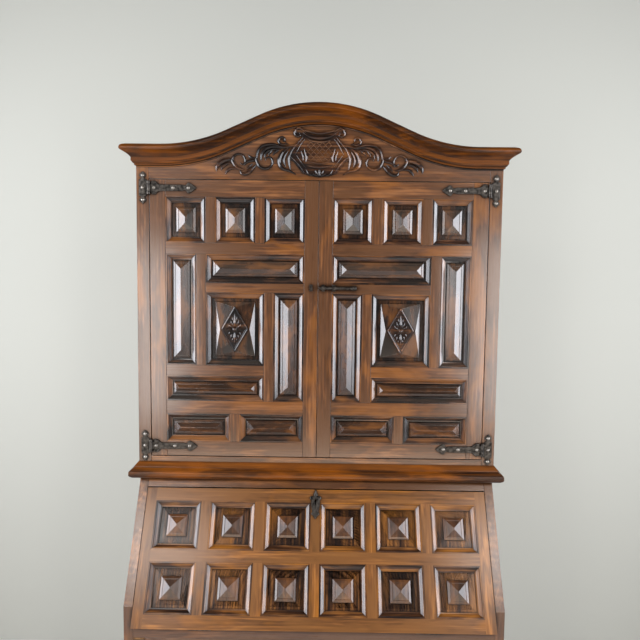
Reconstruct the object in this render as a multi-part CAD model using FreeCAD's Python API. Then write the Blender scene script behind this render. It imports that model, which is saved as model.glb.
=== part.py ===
import FreeCAD, Part
import math
import os

# Walnut bureau cabinet: a two-door cupboard with an arched cornice stands on a slant-front desk
# with three long drawers. Millimetres, +Z up, +X to the right, and the doors face -Y.
# The origin is on the floor, in the middle of the footprint.

Vector = FreeCAD.Vector

# Whole cabinet
case_width = 1000.0
lower_depth = 460.0
writing_height = 730.0
slope_angle = 29.6
slope_rise = 288.0
slope_setback = 9.0
door_height = 768.0
waist_drop = 71.0
joint_drop = 40.0

# Boards
side_board = 25.0
back_board = 10.0
top_board = 22.0
desk_floor_board = 25.0
shelf_board = 20.0
face_board = 22.0
face_stile = 35.0
face_rail = 38.5

# Gaps and fits
door_gap = 1.2
fall_gap = 1.0
fall_top_gap = 2.5
drawer_gap = 1.2
slide_gap = 0.5
turning_gap = 0.1
swing_gap = 0.6

# Feet and plinth
foot_height = 80.0
foot_radius = 44.0
foot_inset = 52.0
foot_neck_share = 0.62
base_rail_top = 138.0
plinth_height = 52.0
plinth_projection = 30.0

# Slanted fall
fall_thickness = 30.0
fall_stile = 28.0
fall_muntin = 26.0
fall_top_rail = 35.0
fall_mid_rail = 30.5
fall_bottom_rail = 34.0
fall_columns = 6
slope_rail_show = 22.0
slope_rail_thickness = 30.0

# Door layout
door_thickness = 22.0
outer_stile = 43.0
inner_stile = 38.0
door_top_rail = 46.0
door_bottom_rail = 41.0
door_muntin = 26.0
row_rail = 30.0
cross_rail = 30.0
low_rail = 37.0
tall_width_share = 0.2205
low_row_share = 0.142
lower_wide_share = 0.127
upper_wide_share = 0.143
square_row_share = 0.224

# Coffers: sunk moulding, sunk field, step and raised pyramid
recess = 11.0
moulding_width = 16.0
moulding_lip = 0.5
square_margin = 12.5
ridge_margin = 3.0
fall_margin = 20.0
lozenge_margin = 10.0
panel_step = 2.5
bevel_run = 6.0
bevel_rise = 3.0
ledge_run = 1.5
pyramid_proud = 2.0
ridge_half = 0.6
lozenge_inset = 14.0
lozenge_proud = 1.0
moulding_profile_shares = [(0.0, 1.0), (0.26, 1.0), (0.32, 0.78), (0.42, 0.74), (0.88, 0.24), (1.0, 0.2)]

# Cornice and arch
cornice_height = 54.5
cornice_projection = 36.0
frieze_show = 37.0
arch_rise = 113.5
arch_shoulder = 70.0
arch_slope = 24.2
arch_crown_share = 0.473
profile_steps = 4
flat_share = 1e-6
cornice_profile_shares = [(0.0, 0.0, 0.0), (0.11, 0.0, 0.0), (0.11, 0.08, 0.0), (0.25, 0.18, 0.2),
                          (0.31, 0.19, 0.0), (0.31, 0.37, 0.0), (0.93, 0.67, -0.07), (1.0, 0.78, 0.14),
                          (0.74, 0.96, 0.17), (0.48, 1.0, 0.06), (0.0, 1.0, 0.0)]

# Waist moulding between the two cases
waist_height = 46.0
waist_projection = 24.0
waist_cover = 23.5
waist_profile_shares = [(0.0, 1.0, 0.0), (0.46, 0.73, 0.0), (0.46, 0.68, 0.0), (0.8, 0.54, 0.1),
                        (0.86, 0.5, 0.0), (1.0, 0.32, -0.18), (0.82, 0.09, -0.2), (0.42, 0.0, -0.12),
                        (0.0, 0.0, 0.0)]

# Plinth moulding
plinth_profile_shares = [(0.0, 1.0, 0.0), (0.25, 0.93, 0.0), (0.62, 0.55, -0.2), (0.62, 0.48, 0.0),
                         (1.0, 0.42, 0.0), (1.0, 0.0, 0.0), (0.0, 0.0, 0.0)]

# Drawers
drawer_front_thickness = 24.0
divider_board = 18.0
divider_depth = 60.0
runner_width = 45.0
drawer_box_board = 12.0
drawer_bottom_board = 6.0
drawer_bottom_rise = 8.0
drawer_box_drop = 18.0
drawer_travel = 300.0
drawer_hold = 110.0
drawer_stile = 28.0
drawer_rail = 24.0
drawer_pull_muntin = 46.0
drawer_lock_muntin = 36.0

# Lopers that carry the open fall
loper_width = 30.0
loper_travel = 250.0
loper_hold = 80.0
loper_guide = 12.0

# Desk gallery
gallery_setback = 200.0
gallery_board = 10.0
gallery_low_height = 105.0
gallery_mid_height = 115.0
gallery_niche_half = 165.0
gallery_drawer_front = 12.0
gallery_drawer_board = 8.0
gallery_drawer_travel = 120.0
gallery_drawer_hold = 70.0
gallery_knob_radius = 7.0
gallery_knob_length = 14.0
pigeonholes = 5

# Cupboard shelves
shelf_height_shares = [0.3255, 0.6575]
shelf_setback = 20.0

# Door hinges: strap on the door, arrow-ended leaf on the stile
strap_length = 124.0
strap_thickness = 3.0
strap_root_half = 18.0
strap_neck_half = 7.5
strap_head_half = 15.0
strap_head_length = 32.0
leaf_width = 20.0
leaf_half_height = 44.0
leaf_neck_share = 0.3
knuckle_radius = 4.5
knuckle_half = 10.0
knuckle_total_half = 18.0
knuckle_stand_off = 5.0
knuckle_seat = 2.0
hinge_pin_radius = 2.0
upper_hinge_drop = 23.0
lower_hinge_height = 28.0
nail_radius = 5.0
nail_height = 3.0

# Door bolt
bolt_height = 476.5
bolt_radius = 4.5
bolt_length = 102.0
bolt_start = 4.0
bolt_knob_radius = 7.0
bolt_knob_lift = 1.5
bolt_knob_length = 8.0
bolt_travel = 34.0
staple_half_width = 4.0
staple_half_height = 9.0
staple_rise = 12.0
bolt_stand_off = 6.4
first_staple = 14.0
staple_spacing = 30.0
bolt_end_show = 6.5

# Rosettes on the lozenges
rosette_height = 6.0
rosette_inset = 12.0

# Fall lock and its plate
escutcheon_width = 30.0
escutcheon_height = 80.0
escutcheon_thickness = 2.5
escutcheon_waist_share = 0.62
keyhole_rise = 8.0
keyhole_radius = 3.5
keyhole_slot_half = 1.8
keyhole_slot_length = 12.0
lock_half_width = 32.0
lock_height = 46.0
lock_depth = 14.0
lock_top_margin = 4.0
lock_bolt_half_width = 14.0
lock_bolt_thickness = 7.0
lock_bolt_length = 26.0
lock_bolt_travel = 8.0

# Fall hinges
flap_place = 300.0
flap_half_length = 30.0
flap_leaf_depth = 24.0
flap_leaf_thickness = 1.5
flap_barrel_radius = 2.5
flap_knuckle_half = 14.0
flap_pin_radius = 1.2

# Drop pulls
pull_plate_half_width = 17.0
pull_plate_half_height = 27.0
pull_plate_thickness = 2.5
pull_lobe_share = 0.62
pull_ear_thickness = 2.5
pull_ear_radius = 4.5
pull_axis_rise = 10.0
pull_stand_off = 13.0
pull_pin_radius = 1.3
drop_eye_half = 3.0
drop_radius = 9.0
drop_length = 44.0
drop_neck_share = 0.62

# Carved frieze
carving_relief = 7.0
cartouche_relief = 9.0
cartouche_half_width = 46.0
cartouche_foot_share = 0.62
cartouche_top = 112.0
cartouche_bottom = 22.0
shell_radius = 14.0
volute_rim = 7.0
stem_half = 3.0
carving_reach_share = 0.656
volute_shares = [(0.528, 0.433, 0.179), (0.77, 0.429, 0.165), (0.351, 0.839, 0.107)]
leaf_shares = [((0.27, 0.75), (0.383, 0.339), 0.08), ((0.383, 0.339), (0.234, 0.134), 0.054),
               ((0.277, 0.67), (0.596, 0.732), 0.04), ((0.603, 0.339), (0.709, 0.196), 0.054),
               ((0.702, 0.357), (0.603, 0.152), 0.045), ((0.837, 0.339), (1.0, 0.25), 0.054),
               ((0.837, 0.286), (0.929, 0.143), 0.04), ((0.823, 0.277), (0.745, 0.143), 0.04),
               ((0.298, 0.286), (0.284, 0.625), 0.054)]

# Places worked out from the sizes above
tilt = math.radians(slope_angle)
sin_tilt = math.sin(tilt)
cos_tilt = math.cos(tilt)
tan_tilt = math.tan(tilt)
half_width = case_width / 2
inner_half = half_width - side_board
lower_front = plinth_projection - (lower_depth + plinth_projection) / 2
rear = lower_front + lower_depth
inner_rear = rear - back_board
corner_z = writing_height + fall_thickness / sin_tilt
slope_top_y = lower_front + slope_rise * tan_tilt
slope_top_z = corner_z + slope_rise
upper_front = slope_top_y - slope_setback
door_z = slope_top_z + waist_drop
joint_z = door_z - joint_drop
desk_ceiling = joint_z - top_board
desk_floor_z = writing_height - desk_floor_board
cornice_z = door_z + door_height + frieze_show
upper_top_z = cornice_z + cornice_height
opening_half = half_width - face_stile
door_inner_edge = door_gap / 2
door_outer_edge = opening_half - door_gap
keeper_place = bolt_travel - bolt_start - staple_half_width - bolt_end_show
drawer_length = drawer_travel + drawer_hold
loper_length = loper_travel + loper_hold
gallery_drawer_length = gallery_drawer_travel + gallery_drawer_hold
fall_half_width = inner_half - fall_gap
fall_axis_y = lower_front - swing_gap
slope_foot = fall_thickness / tan_tilt
slope_head = slope_foot + slope_rise / cos_tilt
fall_length = slope_head - slope_rail_show - fall_top_gap
fall_coffer_width = (2 * (fall_half_width - fall_stile) - (fall_columns - 1) * fall_muntin) / fall_columns
fall_coffer_height = (fall_length - fall_bottom_rail - fall_mid_rail - fall_top_rail) / 2
arch_turn = math.radians(arch_slope)
arch_half_span = half_width - arch_shoulder
arch_bow = arch_half_span * math.sin(arch_turn) - arch_rise * math.cos(arch_turn)
arch_radii = arch_bow / (1 - math.cos(arch_turn))
arch_crown_radius = arch_radii * arch_crown_share
arch_sweep_radius = arch_radii - arch_crown_radius
upper_hinge_height = door_height - upper_hinge_drop
carving_half_width = arch_half_span * carving_reach_share
loper_top = writing_height - fall_thickness - slide_gap
guide_top = loper_top + slide_gap
loper_bed = desk_floor_z - divider_board - loper_width - slide_gap
loper_bottom = loper_bed + slide_gap
drawer_zone = loper_bed - divider_board - base_rail_top
drawer_opening = (drawer_zone - 2 * divider_board) / 3
overrun = side_board


def box(x0, x1, y0, y1, z0, z1):
    return Part.makeBox(x1 - x0, y1 - y0, z1 - z0, Vector(x0, y0, z0))


def polygon_face(points):
    return Part.Face(Part.makePolygon(list(points) + [points[0]]))


def prism_yz(points, x0, x1):
    """A (y, z) outline drawn out along X."""
    return polygon_face([Vector(x0, y, z) for y, z in points]).extrude(Vector(x1 - x0, 0, 0))


def solid_of(faces):
    solid = Part.Solid(Part.Shell(faces))
    if solid.Volume < 0:
        solid.reverse()
    return solid


def prismatoid(first, second):
    """A solid between two like polygons whose matching edges are parallel."""
    count = len(first)
    faces = [polygon_face(first), polygon_face(second)]
    for i in range(count):
        j = (i + 1) % count
        faces.append(polygon_face([first[i], first[j], second[j], second[i]]))
    return solid_of(faces)


def mirrored(shape):
    return shape.mirror(Vector(0, 0, 0), Vector(1, 0, 0))


def both_sides(shapes):
    return shapes + [mirrored(shape) for shape in shapes]


def stand(shapes, origin, angle=0.0):
    """Turn pieces laid out flat (X right, Y up, Z outwards) up onto a front that leans by angle."""
    placed = []
    for shape in shapes:
        copy = shape.copy()
        copy.rotate(Vector(0, 0, 0), Vector(1, 0, 0), 90 - angle)
        copy.translate(origin)
        placed.append(copy)
    return placed


def fused(shapes):
    return shapes[0].multiFuse(shapes[1:]).removeSplitter()


def export(name, shapes):
    Part.makeCompound(shapes).exportStep("parts/" + name + ".step")


def arc_points(start, end, sag_share, steps):
    """Points on a circular arc from start to end that bulges by sag_share of its chord."""
    chord_x = end[0] - start[0]
    chord_z = end[1] - start[1]
    chord = math.hypot(chord_x, chord_z)
    if chord == 0 or sag_share == 0:
        return [end]
    half_turn = 2 * math.atan(2 * abs(sag_share))
    radius = chord / (2 * math.sin(half_turn))
    side = math.copysign(1, sag_share)
    middle_x = (start[0] + end[0]) / 2
    middle_z = (start[1] + end[1]) / 2
    to_centre = radius * math.cos(half_turn) * side
    centre_x = middle_x - chord_z / chord * to_centre
    centre_z = middle_z + chord_x / chord * to_centre
    first = math.atan2(start[1] - centre_z, start[0] - centre_x)
    turn = 2 * half_turn * side
    points = []
    for step in range(1, steps + 1):
        angle = first + turn * step / steps
        points.append((centre_x + radius * math.cos(angle), centre_z + radius * math.sin(angle)))
    return points


def profile(shares, projection, height):
    """A moulding's section as (out, up) points, from a table of (out, up, bulge) shares."""
    points = [(shares[0][0] * projection, shares[0][1] * height)]
    for out_share, up_share, sag_share in shares[1:]:
        end = (out_share * projection, up_share * height)
        points += arc_points(points[-1], end, sag_share, profile_steps)
    return points


def straight_moulding(section, front, base, end_y):
    """A front length and two returns, mitred at the corners of a case whose front is at front."""
    left = [Vector(-half_width - out, front - out, base + up) for out, up in section]
    right = [Vector(half_width + out, front - out, base + up) for out, up in section]
    back = [Vector(half_width + out, end_y, base + up) for out, up in section]
    return prismatoid(left, right), prismatoid(right, back)


# Coffers, laid out flat: X right, Y up, Z outwards, and the frame's face at Z = 0
def strip(corners, profile_points):
    """One mitred moulding strip along the first side of a rectangle given as four corners."""
    ends = []
    for corner, along, inwards in ((corners[0], 1, 1), (corners[1], -1, 1)):
        ends.append([corner + corners[2] * (along * inset) + corners[3] * (inwards * inset)
                     + Vector(0, 0, height) for inset, height in profile_points])
    return prismatoid(ends[0], ends[1])


def coffer_strips(rect):
    x0, y0, x1, y1 = rect
    section = [(share * moulding_width, up * (recess - moulding_lip) - recess)
               for share, up in moulding_profile_shares]
    section = [(0.0, -recess)] + section + [(moulding_width, -recess)]
    right = Vector(1, 0, 0)
    up = Vector(0, 1, 0)
    sides = [(Vector(x0, y0, 0), Vector(x1, y0, 0), right, up),
             (Vector(x1, y1, 0), Vector(x0, y1, 0), -right, -up),
             (Vector(x1, y0, 0), Vector(x1, y1, 0), up, -right),
             (Vector(x0, y1, 0), Vector(x0, y0, 0), -up, right)]
    return [strip(side, section) for side in sides]


def ring(rect, inset, height):
    x0, y0, x1, y1 = rect
    return [Vector(x0 + inset, y0 + inset, height), Vector(x1 - inset, y0 + inset, height),
            Vector(x1 - inset, y1 - inset, height), Vector(x0 + inset, y1 - inset, height)]


def ring_faces(lower, upper):
    return [polygon_face([lower[i], lower[(i + 1) % 4], upper[(i + 1) % 4], upper[i]]) for i in range(4)]


def raised_panel(rect, thickness, margin):
    """A panel with a sunk margin, then a step, a bevel, a ledge and a pyramid or hipped ridge."""
    foot = moulding_width + margin
    ledge = foot + bevel_run
    ledge_height = panel_step + bevel_rise - recess
    short_half = min(rect[2] - rect[0], rect[3] - rect[1]) / 2
    rings = [ring(rect, 0, -thickness), ring(rect, 0, -recess), ring(rect, foot, -recess),
             ring(rect, foot, panel_step - recess), ring(rect, ledge, ledge_height),
             ring(rect, ledge + ledge_run, ledge_height),
             ring(rect, short_half - ridge_half, pyramid_proud)]
    faces = [polygon_face(rings[0]), polygon_face(rings[-1])]
    for lower, upper in zip(rings, rings[1:]):
        faces += ring_faces(lower, upper)
    return solid_of(faces)


def lozenge_reach(rect, inset):
    """Half the width and height of a lozenge that stands in from a coffer's step by inset."""
    foot = moulding_width + lozenge_margin + inset
    return (rect[2] - rect[0]) / 2 - foot, (rect[3] - rect[1]) / 2 - foot


def lozenge_panel(rect, thickness):
    """A panel whose step rises in eight facets to a flat lozenge."""
    foot = moulding_width + lozenge_margin
    rings = [ring(rect, 0, -thickness), ring(rect, 0, -recess), ring(rect, foot, -recess),
             ring(rect, foot, panel_step - recess)]
    centre_x = (rect[0] + rect[2]) / 2
    centre_y = (rect[1] + rect[3]) / 2
    half_x, half_y = lozenge_reach(rect, lozenge_inset)
    lozenge = [Vector(centre_x, centre_y - half_y, lozenge_proud),
               Vector(centre_x + half_x, centre_y, lozenge_proud),
               Vector(centre_x, centre_y + half_y, lozenge_proud),
               Vector(centre_x - half_x, centre_y, lozenge_proud)]
    faces = [polygon_face(rings[0]), polygon_face(lozenge)]
    for lower, upper in zip(rings, rings[1:]):
        faces += ring_faces(lower, upper)
    corners = rings[-1]
    for i in range(4):
        j = (i + 1) % 4
        faces.append(polygon_face([corners[i], corners[j], lozenge[i]]))
        faces.append(polygon_face([corners[j], lozenge[j], lozenge[i]]))
    return solid_of(faces)


def slab(rect, thickness):
    x0, y0, x1, y1 = rect
    return box(x0, x1, y0, y1, -thickness, 0)


# Lower case
def slope_y(z):
    return lower_front + (z - corner_z) * tan_tilt


def slope_point(up, out):
    """A (y, z) place on the slant: up along it from the fall's foot, out from its face."""
    foot_y = lower_front - fall_thickness * cos_tilt
    foot_z = writing_height + fall_thickness * sin_tilt
    return foot_y + up * sin_tilt - out * cos_tilt, foot_z + up * cos_tilt + out * sin_tilt


def lower_side():
    outline = [(lower_front, foot_height), (lower_front, corner_z), (slope_y(joint_z), joint_z),
               (rear, joint_z), (rear, foot_height)]
    return prism_yz(outline, inner_half, half_width)


def slope_rail():
    """The rail above the fall, mortised for the lock bolt."""
    foot_up = slope_head - slope_rail_show
    outline = [slope_point(foot_up, 0), slope_point(foot_up, -slope_rail_thickness)]
    for out in (-slope_rail_thickness, 0):
        foot_y, foot_z = slope_point(foot_up, out)
        rise = desk_ceiling - foot_z
        outline.append((foot_y + rise * tan_tilt, desk_ceiling))
    rail = prism_yz(outline, -inner_half, inner_half)
    reach = lock_bolt_travel + 2 * slide_gap
    low = lock_bolt_floor() - slide_gap
    mortise = box(-lock_bolt_half_width - slide_gap, lock_bolt_half_width + slide_gap,
                  fall_length - overrun, fall_length + fall_top_gap + reach,
                  low, low + lock_bolt_thickness + 2 * slide_gap)
    return rail.cut(stand([mortise], fall_origin(), slope_angle)[0])


def desk_floor():
    """The writing board, let in for the fall's hinge leaves and barrels."""
    board = box(-inner_half, inner_half, lower_front, inner_rear, desk_floor_z, writing_height)
    for place in (-flap_place, flap_place):
        board = board.cut(box(place - flap_half_length, place + flap_half_length, lower_front - overrun,
                              lower_front + flap_leaf_depth, writing_height - flap_leaf_thickness,
                              writing_height + overrun))
        board = board.cut(flap_barrel_space(place))
    return board


def flap_barrel_space(place):
    return Part.makeCylinder(flap_barrel_radius + swing_gap, 2 * flap_half_length,
                             Vector(place - flap_half_length, fall_axis_y, writing_height), Vector(1, 0, 0))


def drawer_floor(index):
    """Height of a drawer opening's floor, counted from the lowest drawer."""
    return base_rail_top + index * (drawer_opening + divider_board)


def drawer_rails():
    rails = [box(-inner_half, inner_half, lower_front, lower_front + side_board,
                 foot_height + top_board, base_rail_top)]
    for index in (1, 2, 3):
        top = drawer_floor(index)
        rails.append(box(-inner_half, inner_half, lower_front, lower_front + divider_depth,
                         top - divider_board, top))
    apron_half = inner_half - loper_width - 2 * slide_gap
    rails.append(box(-apron_half, apron_half, lower_front, lower_front + side_board,
                     loper_bed, desk_floor_z))
    rails.append(box(-inner_half, inner_half, lower_front, inner_rear, foot_height, foot_height + top_board))
    return rails


def drawer_runners():
    """Runners under each drawer, and the guides that the lopers slide in."""
    pieces = [box(inner_half - runner_width, inner_half, lower_front + side_board, inner_rear,
                  base_rail_top - divider_board, base_rail_top)]
    for index in (1, 2, 3):
        top = drawer_floor(index)
        pieces.append(box(inner_half - runner_width, inner_half, lower_front + divider_depth, inner_rear,
                          top - divider_board, top))
    guide_x = inner_half - loper_width - 2 * slide_gap
    guide_end = lower_front + loper_length + slide_gap
    pieces.append(box(guide_x - loper_guide, guide_x, lower_front + side_board, guide_end,
                      loper_bed, desk_floor_z))
    pieces.append(box(guide_x, inner_half, lower_front, guide_end, guide_top, desk_floor_z))
    pieces.append(box(guide_x, inner_half, guide_end, guide_end + loper_guide, loper_bed, desk_floor_z))
    return both_sides(pieces)


def loper():
    left = inner_half - slide_gap - loper_width
    return box(left, left + loper_width, lower_front, lower_front + loper_length, loper_bottom, loper_top)


def bun_foot():
    """A turned foot: a round bun under a narrow neck."""
    neck = foot_radius * foot_neck_share
    neck_height = foot_height * foot_neck_share
    outline = [Part.LineSegment(Vector(0, 0, 0), Vector(neck, 0, 0)),
               Part.Arc(Vector(neck, 0, 0), Vector(foot_radius, 0, neck_height / 2),
                        Vector(neck, 0, neck_height)),
               Part.LineSegment(Vector(neck, 0, neck_height), Vector(neck, 0, foot_height)),
               Part.LineSegment(Vector(neck, 0, foot_height), Vector(0, 0, foot_height)),
               Part.LineSegment(Vector(0, 0, foot_height), Vector(0, 0, 0))]
    wire = Part.Wire([segment.toShape() for segment in outline])
    return Part.Face(wire).revolve(Vector(0, 0, 0), Vector(0, 0, 1), 360)


def bun_feet():
    feet = []
    for x in (foot_inset - half_width, half_width - foot_inset):
        for y in (lower_front + foot_inset, rear - foot_inset):
            foot = bun_foot()
            foot.translate(Vector(x, y, 0))
            feet.append(foot)
    return feet


def plinth_moulding():
    section = profile(plinth_profile_shares, plinth_projection, plinth_height)
    front, side = straight_moulding(section, lower_front, foot_height, rear)
    return [front, side, mirrored(side)]


def waist_moulding():
    """The moulding that hides the joint of the two cases, with a bed on the slant behind it."""
    section = profile(waist_profile_shares, waist_projection, waist_height)
    base = joint_z + waist_cover - waist_height
    front, side = straight_moulding(section, upper_front, base, rear)
    bed = prism_yz([(upper_front, base), (slope_y(base), base), (slope_y(joint_z), joint_z),
                    (upper_front, joint_z)], -half_width, half_width)
    return [fused([front, bed]), side, mirrored(side)]


# Desk gallery
def gallery_front():
    return lower_front + gallery_setback


def gallery_case():
    """Shelves and dividers behind the fall: drawers below, pigeonholes, and an open shelf on top."""
    front = gallery_front()
    low_top = writing_height + gallery_low_height
    mid_top = low_top + gallery_board + gallery_mid_height
    boards = [box(-inner_half, inner_half, front, inner_rear, low_top, low_top + gallery_board),
              box(-inner_half, inner_half, front, inner_rear, mid_top, mid_top + gallery_board)]
    for x in (-gallery_niche_half - gallery_board, gallery_niche_half):
        boards.append(box(x, x + gallery_board, front, inner_rear, writing_height, low_top))
    cell = (2 * inner_half - (pigeonholes - 1) * gallery_board) / pigeonholes
    for index in range(1, pigeonholes):
        x = index * (cell + gallery_board) - gallery_board - inner_half
        boards.append(box(x, x + gallery_board, front, inner_rear, low_top + gallery_board, mid_top))
    return boards


def gallery_drawer():
    """A small drawer on the right of the gallery, with a turned knob."""
    x0 = gallery_niche_half + gallery_board + drawer_gap
    x1 = inner_half - drawer_gap
    z0 = writing_height + slide_gap
    z1 = writing_height + gallery_low_height - drawer_gap
    front = gallery_front()
    back = front + gallery_drawer_front
    end = front + gallery_drawer_length
    wall = gallery_drawer_board
    pieces = [box(x0, x1, front, back, z0, z1), box(x0, x0 + wall, back, end, z0, z1 - wall),
              box(x1 - wall, x1, back, end, z0, z1 - wall),
              box(x0 + wall, x1 - wall, end - wall, end, z0, z1 - wall),
              box(x0 + wall, x1 - wall, back, end - wall, z0, z0 + wall)]
    knob_base = Vector((x0 + x1) / 2, front, (z0 + z1) / 2)
    neck = Part.makeCylinder(gallery_knob_radius / 2, gallery_knob_length / 2, knob_base, Vector(0, -1, 0))
    head_centre = knob_base - Vector(0, gallery_knob_length - gallery_knob_radius / 2, 0)
    head = Part.makeSphere(gallery_knob_radius, head_centre)
    pieces.append(fused([neck, head]))
    return pieces


# Upper case
def upper_side():
    return box(inner_half, half_width, upper_front + face_board, rear, joint_z, upper_top_z)


def face_frame():
    """Two stiles and the rail under the doors, flush with the door fronts."""
    stile = box(opening_half, half_width, upper_front, upper_front + face_board, joint_z, upper_top_z)
    rail = box(-opening_half, opening_half, upper_front, upper_front + face_board, joint_z,
               joint_z + face_rail)
    return both_sides([stile]) + [rail]


def arch_run(end_x, y, base):
    """The serpentine line from left to right: flat, sweep, straight, crown and back down."""
    def place(x, z):
        return Vector(x, y, base + z)

    def sweep_point(angle, side):
        return place(side * (arch_half_span - arch_sweep_radius * math.sin(angle)),
                     arch_sweep_radius * (1 - math.cos(angle)))

    def crown_point(angle, side):
        return place(side * arch_crown_radius * math.sin(angle),
                     arch_rise - arch_crown_radius * (1 - math.cos(angle)))

    def half_run(side):
        return [Part.LineSegment(place(side * end_x, 0), sweep_point(0, side)),
                Part.Arc(sweep_point(0, side), sweep_point(arch_turn / 2, side),
                         sweep_point(arch_turn, side)),
                Part.LineSegment(sweep_point(arch_turn, side), crown_point(arch_turn, side))]

    crown = Part.Arc(crown_point(arch_turn, -1), place(0, arch_rise), crown_point(arch_turn, 1))
    segments = half_run(-1) + [crown] + half_run(1)[::-1]
    return [segment.toShape() for segment in segments]


def frieze_board():
    """The board above the doors, cut to the arch."""
    bottom = door_z + door_height + door_gap
    top = arch_run(opening_half, upper_front, upper_top_z)
    lower_left = Vector(-opening_half, upper_front, bottom)
    lower_right = Vector(opening_half, upper_front, bottom)
    sides = [Part.makeLine(lower_left, Vector(-opening_half, upper_front, upper_top_z)),
             Part.makeLine(lower_left, lower_right),
             Part.makeLine(lower_right, Vector(opening_half, upper_front, upper_top_z))]
    wire = Part.Wire(Part.__sortEdges__(top + sides))
    return Part.Face(wire).extrude(Vector(0, face_board, 0))


def between(low_edge, high_edge):
    """The face between an edge and its moved copy."""
    ends = [low_edge.Vertexes, high_edge.Vertexes]
    joins = [Part.makeLine(ends[0][k].Point, ends[1][k].Point) for k in (0, 1)]
    move = ends[1][0].Point - ends[0][0].Point
    in_one_plane = abs(move.y) < flat_share * move.Length
    straight = isinstance(low_edge.Curve, Part.Line)
    if in_one_plane or straight:
        return Part.Face(Part.Wire([low_edge, joins[1], high_edge, joins[0]]))
    return low_edge.extrude(move)


def serpentine_moulding(section, front, base):
    """A moulding that keeps its section upright along the arch, mitred at both ends."""
    lines = [arch_run(half_width + out, front - out, base + up) for out, up in section]
    faces = []
    for i, line in enumerate(lines):
        after = lines[(i + 1) % len(lines)]
        faces += [between(low, high) for low, high in zip(line, after)]
    for side in (-1, 1):
        faces.append(polygon_face([Vector(side * (half_width + out), front - out, base + up)
                                   for out, up in section]))
    shell = Part.makeCompound(faces)
    shell.sewShape()
    return solid_of(shell.Faces)


def cornice():
    section = profile(cornice_profile_shares, cornice_projection, cornice_height)
    front = serpentine_moulding(section, upper_front, cornice_z)
    side = straight_moulding(section, upper_front, cornice_z, rear)[1]
    return [front, side, mirrored(side)]


def upper_shelves():
    boards = []
    for share in shelf_height_shares:
        foot = door_z + share * door_height
        boards.append(box(-inner_half, inner_half, upper_front + door_thickness + shelf_setback, inner_rear,
                          foot, foot + shelf_board))
    return boards


# Doors, laid out flat with X measured from the cabinet's middle and Y from the door's foot
def door_layout():
    """The right door's frame members and its sunk fields, as rectangles."""
    left = door_inner_edge
    right = door_outer_edge
    x0 = left + inner_stile
    x1 = right - outer_stile
    top = door_height - door_top_rail
    free_height = top - row_rail - door_muntin - cross_rail - low_rail - door_bottom_rail
    square_foot = top - square_row_share * free_height
    block_top = square_foot - row_rail
    wide_foot = block_top - upper_wide_share * free_height
    diamond_top = wide_foot - door_muntin
    low_foot = door_bottom_rail
    low_top = low_foot + low_row_share * free_height
    cross_foot = low_top + low_rail
    cross_top = cross_foot + lower_wide_share * free_height
    diamond_foot = cross_top + cross_rail
    tall_x = x1 - tall_width_share * (x1 - x0)
    inner_x = x0 + tall_width_share * (x1 - x0)
    members = [(left, 0.0, x0, door_height), (x1, 0.0, right, door_height),
               (x0, top, x1, door_height), (x0, block_top, x1, square_foot),
               (x0, low_top, x1, cross_foot), (x0, 0.0, x1, low_foot),
               (tall_x - door_muntin, diamond_foot, tall_x, block_top),
               (x0, diamond_top, tall_x - door_muntin, wide_foot),
               (inner_x, cross_foot, inner_x + door_muntin, diamond_top),
               (inner_x + door_muntin, cross_top, x1, diamond_foot)]
    fields = [(tall_x, diamond_foot, x1, block_top), (x0, wide_foot, tall_x - door_muntin, block_top),
              (x0, cross_foot, inner_x, diamond_top), (inner_x + door_muntin, cross_foot, x1, cross_top)]
    squares = []
    square_width = (x1 - x0 - 2 * door_muntin) / 3
    for index in range(3):
        x = x0 + index * (square_width + door_muntin)
        squares.append((x, square_foot, x + square_width, top))
        if index:
            members.append((x - door_muntin, square_foot, x, top))
    low_width = (x1 - x0 - door_muntin) / 2
    fields.append((x0, low_foot, x0 + low_width, low_top))
    fields.append((x1 - low_width, low_foot, x1, low_top))
    members.append((x0 + low_width, low_foot, x1 - low_width, low_top))
    diamond = (inner_x + door_muntin, diamond_foot, tall_x - door_muntin, diamond_top)
    return members, (fields, squares), diamond


def door_origin():
    return Vector(0, upper_front, door_z)


def export_doors():
    members, fields, diamond = door_layout()
    frame = [slab(member, door_thickness) for member in members]
    ridges, squares = fields
    panels = [raised_panel(field, door_thickness, ridge_margin) for field in ridges]
    panels += [raised_panel(field, door_thickness, square_margin) for field in squares]
    panels.append(lozenge_panel(diamond, door_thickness))
    strips = []
    for field in ridges + squares + [diamond]:
        strips += coffer_strips(field)
    carved = [rosette(diamond)]
    for name, pieces in (("frame", frame), ("panels", panels), ("mouldings", strips), ("rosette", carved)):
        placed = stand(pieces, door_origin())
        export("door_right_" + name, placed)
        export("door_left_" + name, [mirrored(piece) for piece in placed])


def rosette(diamond):
    """A low four-lobed boss on the lozenge."""
    centre = Vector((diamond[0] + diamond[2]) / 2, (diamond[1] + diamond[3]) / 2, lozenge_proud)
    half_x, half_y = lozenge_reach(diamond, lozenge_inset + rosette_inset)
    outline = [Vector(0, -half_y, 0), Vector(half_x, 0, 0), Vector(0, half_y, 0), Vector(-half_x, 0, 0)]
    base = [centre + point for point in outline]
    crown = [centre + point / 2 + Vector(0, 0, rosette_height) for point in outline]
    return prismatoid(base, crown)


# Iron on the doors, laid out like the doors
def nail(x, y, height=0.0):
    """A domed nail head standing on a plate."""
    radius = (nail_radius ** 2 + nail_height ** 2) / (2 * nail_height)
    ball = Part.makeSphere(radius, Vector(x, y, height + nail_height - radius))
    keep = Part.makeCylinder(nail_radius + turning_gap, nail_height, Vector(x, y, height))
    return ball.common(keep)


def outline_plate(points, thickness):
    return polygon_face([Vector(x, y, 0) for x, y in points]).extrude(Vector(0, 0, thickness))


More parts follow.
